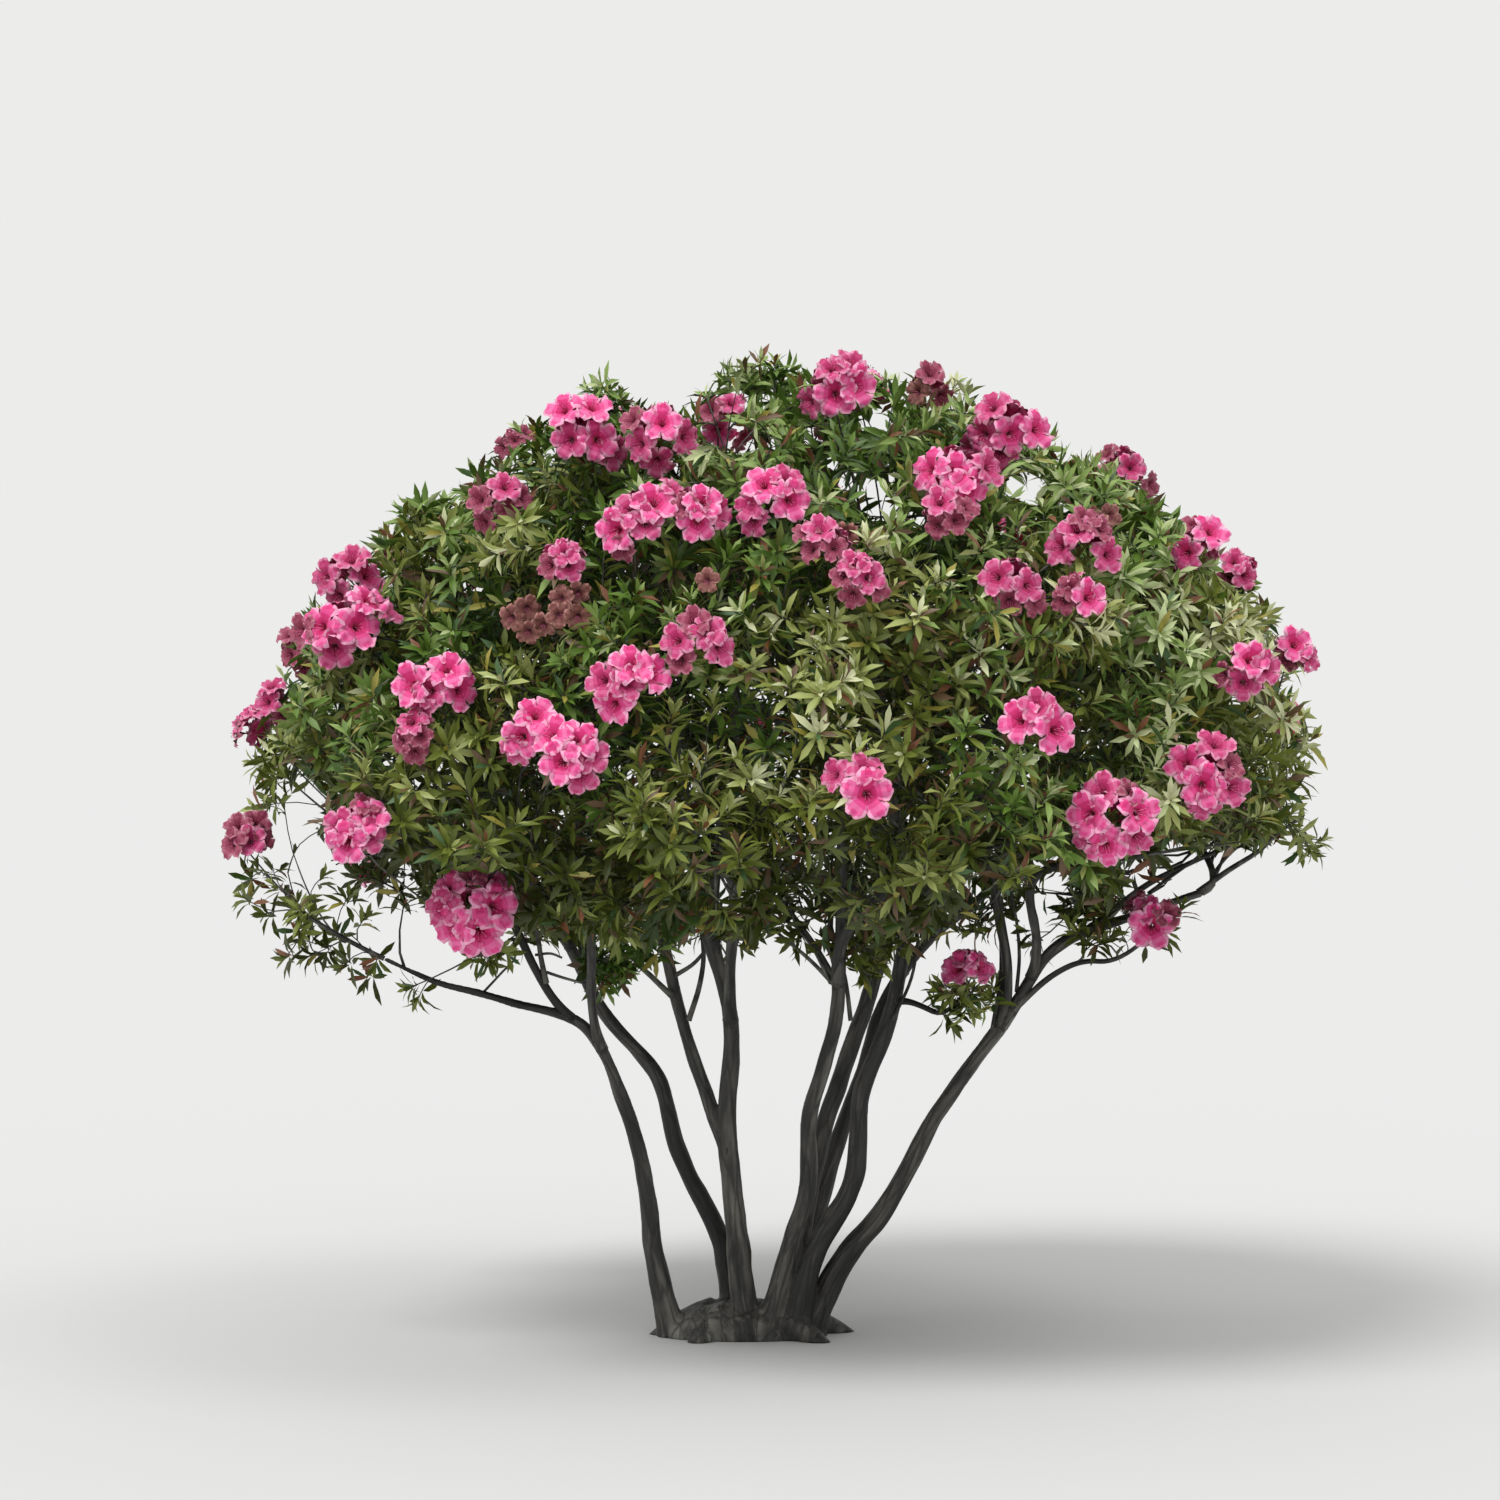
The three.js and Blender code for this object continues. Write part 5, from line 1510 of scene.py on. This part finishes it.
def growWhorls(kind, places, axes, sizes, free):
    # whorls of one kind: each leaf's foot, its three arrows, its tone and its posture
    whorl = leafLook["whorls"][kind]
    number = len(places)
    axes = unit(axes + rng.normal(size=axes.shape) * leafLook["sideScatter"])
    guide = np.where(np.abs(axes[:, 2:]) > 0.9, place(1, 0, 0), place(0, 0, 1))
    right = unit(np.cross(guide, axes))
    over = np.cross(axes, right)
    firstTurn = rng.uniform(0, 2 * np.pi, number)
    spray = rng.normal(0, leafShade["sprayScatter"], number)
    made = []
    for k in range(whorl["count"]):
        share = k / (whorl["count"] - 1)
        turn = firstTurn + math.radians(goldenTurn) * k + rng.normal(0, leafLook["turnScatter"], number)
        lean = lerp(whorl["lowest"], whorl["highest"], share)
        lean = np.radians(lean + rng.normal(0, leafLook["leanScatter"], number))[:, None]
        radial = right * np.cos(turn)[:, None] + over * np.sin(turn)[:, None]
        along = axes * np.cos(lean) + radial * np.sin(lean)
        upper = axes * np.sin(lean) - radial * np.cos(lean)
        across = np.cross(along, upper)
        length = leafLook["length"] * sizes * rng.uniform(*leafLook["lengths"], number)
        length = length * lerp(whorl["longest"], whorl["shortest"], share ** leafLook["lengthPower"])
        width = leafLook["width"] * (length / leafLook["length"]) ** leafLook["widthPower"]
        foot = places - axes * whorl["back"] * (1 - share)
        tips = foot + along * length[:, None]
        middles = lerp(foot, tips, 0.5)
        keep = ~inGap(tips) & ~inGap(middles) | (rng.random(number) < leafLook["across"])
        keep &= ((aboveLow(tips) > -leafLook["belowEdge"])
                 & (belowTop(tips) > -leafLook["overTop"])) | free
        for points in (tips, middles):
            away = np.array([limbTree.find(Vector(spot))[2] for spot in points])
            keep &= away > leafLook["fromLimb"]
            if kind < 3:
                keep &= clearOfFlowers(points, 0, leafLook["inFront"])
        tone = toneOf(places, share ** 2, spray + rng.normal(0, leafShade["scatter"], number))
        odd = rng.random(number)
        for extra, (start, end) in enumerate(leafLook["odd"]):
            tone = np.where((odd >= start) & (odd < end), firstOdd + extra, tone)
        arrows = [across * width[:, None], along * length[:, None], upper * length[:, None]]
        posture = rng.integers(0, len(leafPatterns), number)
        made.append((foot[keep], np.stack(arrows, axis=1)[keep], tone[keep], posture[keep]))
    return [np.concatenate(column) for column in zip(*made)]


def growLeaves(members):
    made = []
    for mass in members:
        rows = gatherWhorls(mass)
        for kind in range(len(leafLook["whorls"])):
            chosen = [row for row in rows if row[3] == kind]
            if chosen:
                made.append(growWhorls(kind, *(np.array([row[k] for row in chosen])
                                               for k in (0, 1, 2, 4))))
    feet, bases, tones, postures = [np.concatenate(column) for column in zip(*made)]
    return joined([copies(pattern, feet[postures == k], bases[postures == k],
                          tones[postures == k]) for k, pattern in enumerate(leafPatterns)])


def twigTubes(twigs, sides):
    return tubes(np.array([twig["line"] for twig in twigs]),
                 np.array([twig["radii"] for twig in twigs]), sides)


groups = {name: [] for name in ("RimFront", "RimBack", "MiddleFront", "MiddleBack", "Upper", "Sprays")}
for mass in masses:
    side = "Front" if mass["hub"][1] < 0 else "Back"
    groups[dict(rim="Rim" + side, middle="Middle" + side, upper="Upper", top="Upper",
                spray="Sprays")[mass["tier"]]].append(mass)
stemShares = np.linspace(0, 1, 10)
print("leaves and twigs:")
for groupName, members in groups.items():
    nodes = [mass["name"] for mass in members]
    twigs = [twig for mass in members for twig in mass["twigs"]]
    main = [twig for twig in twigs if twig["kind"] == "main"]
    fine = [twig for twig in twigs if twig["kind"] == "fine" and twig["load"]]
    last = [twig for twig in twigs if twig["kind"] == "fine" and not twig["load"]]
    parts = []
    for name, radii, forward, bends in bareLimbs:
        if name in nodes:
            line = throughPoints(shownPlaces([(*bend, forward) for bend in bends]), 6)
            parts.append(tubes(line[None], np.linspace(*radii, len(line))[None], 8))
    parts.append(tubes(np.array([mass["stem"].at(stemShares) for mass in members]),
                       np.array([mass["stem"].radiusAt(stemShares) for mass in members]), 8))
    parts += [twigTubes(main, 6), twigTubes(fine, 4), twigTubes(last, 3)]
    piece = pieceFromArrays("twigs" + groupName, *joined(parts), [twigBark])
    giveGrain(piece.data, meshPoints(piece.data) * wood["twigGrain"])
    settle(piece, nodes)
    piece = pieceFromArrays("leaves" + groupName, *growLeaves(members), leafMaterials)
    settle(piece, nodes)


# Blossom: one modelled flower with ruffled petals, in trusses

stamenTone, antherTone, stalkTone = range(len(petalMaterials))[-len(smallTones):]


def modelPetal(name):
    # one petal as a narrow grid: its rows are spread, lifted and moved out one by one
    look = flowerLook
    deselectAll()
    rowCount = len(look["rows"]) - 1
    bpy.ops.mesh.primitive_grid_add(x_subdivisions=6, y_subdivisions=rowCount, size=2)
    petal = bpy.context.object
    petal.name = name
    for material in petalMaterials:
        petal.data.materials.append(material)
    for polygon in petal.data.polygons:  # deeper along the rib, paler at the margins
        row = int((polygon.center.y + 1) / 2 * rowCount)
        aside = abs(polygon.center.x)
        shift = (1 if aside > 0.6 else 0) if row > 2 else 0
        shift = -1 if aside < 0.3 and row > 4 else shift
        polygon.material_index = min(look["zones"][row] + shift, 4)
    bpy.ops.object.mode_set(mode="EDIT")
    for row in reversed(range(rowCount + 1)):
        level = 2 * row / rowCount - 1
        out, height, halfWidth = look["rows"][row]
        pick(petal, lambda spot: abs(spot.y - level) < 0.02 and abs(spot.z) < 1e-4)
        bpy.ops.transform.resize(value=(halfWidth, 1, 1), center_override=(0, level, 0))
        bpy.ops.transform.translate(value=(0, out + 60 - level, height + 100))
    bpy.ops.mesh.select_all(action="SELECT")
    bpy.ops.transform.translate(value=(0, -60, -100))
    # the margins fall away from the middle rib, and the tip has two lobes
    for aside, out, shift in look["margins"]:
        pick(petal, lambda spot: abs(spot.x) > aside and spot.y > out)
        bpy.ops.transform.translate(value=shift)
    aside, out, shift = look["notch"]
    pick(petal, lambda spot: abs(spot.x) < aside and spot.y > out)
    bpy.ops.transform.translate(value=shift)
    bpy.ops.object.mode_set(mode="OBJECT")
    return petal


def modelFlower(name, seed):
    look = flowerLook
    flower = modelPetal(name)
    draws = np.random.default_rng(seed)
    bpy.ops.object.mode_set(mode="EDIT")
    bpy.ops.mesh.select_all(action="SELECT")
    step = 2 * math.pi / look["petals"]
    bpy.ops.mesh.spin(steps=look["petals"] - 1, angle=step * (look["petals"] - 1), dupli=True,
                      axis=(0, 0, 1), center=(0, 0, 0))
    # each petal tilts and twists a little in its own way, and its margin is ruffled in waves
    tilts = draws.normal(0, look["tilt"], look["petals"])
    phases = draws.uniform(0, 6, look["petals"])
    mesh = bmesh.from_edit_mesh(flower.data)
    for vertex in mesh.verts:
        x, y, z = vertex.co
        out = math.hypot(x, y)
        turn = math.atan2(-x, y)
        number = round(turn / step) % look["petals"]
        aside = out * math.sin(turn - number * step)
        past = max(0, out - look["ruffleFrom"])
        edge = (min(1, past / look["ruffleFull"])
                * min(1, abs(aside) / look["ruffleAcross"][0] + past / look["ruffleAcross"][1]))
        wave = (math.sin(out * look["waves"][0] + phases[number])
                + math.sin(aside * look["waves"][1] + phases[number] * 2))
        vertex.co.z += past * tilts[number] + aside * look["twist"] + wave * look["ruffle"] * edge
        vertex.co.x += draws.uniform(-look["uneven"], look["uneven"]) * edge
        vertex.co.y += draws.uniform(-look["uneven"], look["uneven"]) * edge
    for polygon in mesh.faces:  # a deeper blotch lies on the upper petal
        spot = polygon.calc_center_median()
        upper = spot.y > 0 and abs(spot.x) < spot.y * look["blotch"]
        if polygon.material_index in (2, 3) and upper:
            polygon.material_index -= 1
    bmesh.update_edit_mesh(flower.data)
    bpy.ops.object.mode_set(mode="OBJECT")
    return patternOf(flower)


def modelStamens():
    look = flowerLook
    lines = []  # they curve together towards one side
    for k in range(look["stamens"]):
        angle = 2 * math.pi * k / look["stamens"]
        out = place(math.cos(angle), math.sin(angle), 0)
        reach = 1 + 0.16 * math.sin(4 * k)
        spots = [out * 0.6 + place(0, 0, -15), out * 2.2 + place(0, 0, -2),
                 out * 4.5 * reach + place(0, -1.5, 8), out * 6.5 * reach + place(0, -4, 15)]
        lines.append(bezier(spots, 3))
    lines = np.array(lines)
    threads = tubes(lines, np.full(lines.shape[:2], look["threadRadius"]), 3, stamenTone)
    ends = lines[:, -1]
    way = unit(lines[:, -1] - lines[:, -2])
    heads = np.stack([ends - way * 0.4, ends + way * 0.8, ends + way * 2.2], axis=1)
    thin = look["threadRadius"]
    swell = np.tile([thin, look["antherRadius"], thin], (len(ends), 1))
    return joined([threads, tubes(heads, swell, 3, antherTone)])


flowerPatterns = [joined([modelFlower(f"flowerPattern{k}", 40 + k), modelStamens()])
                  for k in range(flowerLook["variants"])]


def growBlooms(chosen):
    # a copy of a modelled flower for each, its upper petal upmost, and a stalk from the twig's end
    parts, stalks = [], []
    zones = len(petalZones)
    for bloom in chosen:
        throat, face, scale = bloom["throat"], bloom["face"], bloom["size"]
        spin = rng.normal() * flowerLook["spin"]
        a, b = sideways(face)
        x = (a * math.cos(spin) + b * math.sin(spin)) * scale
        y = (b * math.cos(spin) - a * math.sin(spin)) * scale
        points, corners, sizes, tones = flowerPatterns[int(rng.integers(len(flowerPatterns)))]
        # the tone level picks the bright set, its darker copies (partly painted shade) or the spent
        # brown set
        tones = np.where(tones < zones, tones + zones * bloom["fade"], tones)
        parts.append(copies((points, corners, sizes, tones), throat[None],
                            np.array([[x, y, face * scale]]), np.array([0])))
        foot = bloom["heart"]
        back = throat - face * flowerLook["tube"] * scale
        stalks.append(bezier([foot, lerp(foot, back, 0.5) - face * flowerLook["stalkBow"], back], 4))
    stalks = np.array(stalks)
    return parts + [tubes(stalks, np.full(stalks.shape[:2], flowerLook["stalkRadius"]), 4, stalkTone)]


print("blossom:")
for groupName, members in groups.items():
    nodes = [mass["name"] for mass in members]
    chosen = [bloom for bloom in blooms if bloom["mass"]["name"] in nodes]
    piece = pieceFromArrays("blossom" + groupName, *joined(growBlooms(chosen)), petalMaterials)
    settle(piece, nodes)


# Floor, light and camera

studio = dict(
    floorReach=60, floorTone=0.6, sky=(236, 236, 235),
    suns=[(34, -42, 0.82), (28, 64, 0.18)],  # degrees from upright, turn, and share of the light
    softness=24, frameWidth=2.1,
)

deselectAll()
bpy.ops.mesh.primitive_circle_add(vertices=96, radius=studio["floorReach"], fill_type="NGON",
                                  location=(0, 0, -0.0005))
floor = bpy.context.object
floor.name = "floor"
tone = studio["floorTone"]
sky = linear(*studio["sky"])
floorNodes = Nodes("floorPaper")
floorNodes.feed(floorNodes.shader, {
    "Base Color": (tone, tone, tone, 1), "Roughness": 1, "Specular IOR Level": 0})
floor.data.materials.append(floorNodes.material)

world = bpy.data.worlds.new("softSky")
bpy.context.scene.world = world
world.use_nodes = True
world.node_tree.nodes["Background"].inputs["Color"].default_value = sky

# the suns are as strong as makes the open floor look just like the sky behind it
needed = math.pi * sky[0] * (1 - tone) / tone
for k, (lean, turn, share) in enumerate(studio["suns"]):
    lamp = bpy.data.lights.new(f"softSun{k}", "SUN")
    lamp.energy = needed * share / math.cos(math.radians(lean))
    lamp.angle = math.radians(studio["softness"])
    obj = bpy.data.objects.new(lamp.name, lamp)
    obj.rotation_euler = (math.radians(lean), 0, math.radians(turn))
    bpy.context.scene.collection.objects.link(obj)

cameraData = bpy.data.cameras.new("camera")
camera = bpy.data.objects.new("camera", cameraData)
camera.location = viewer * mm
camera.rotation_euler = (math.radians(90), 0, 0)
cameraData.lens = cameraData.sensor_width * -viewer[1] * mm / studio["frameWidth"]
cameraData.clip_end = 200
bpy.context.scene.collection.objects.link(camera)
bpy.context.scene.camera = camera
bpy.context.scene.view_settings.view_transform = "Standard"
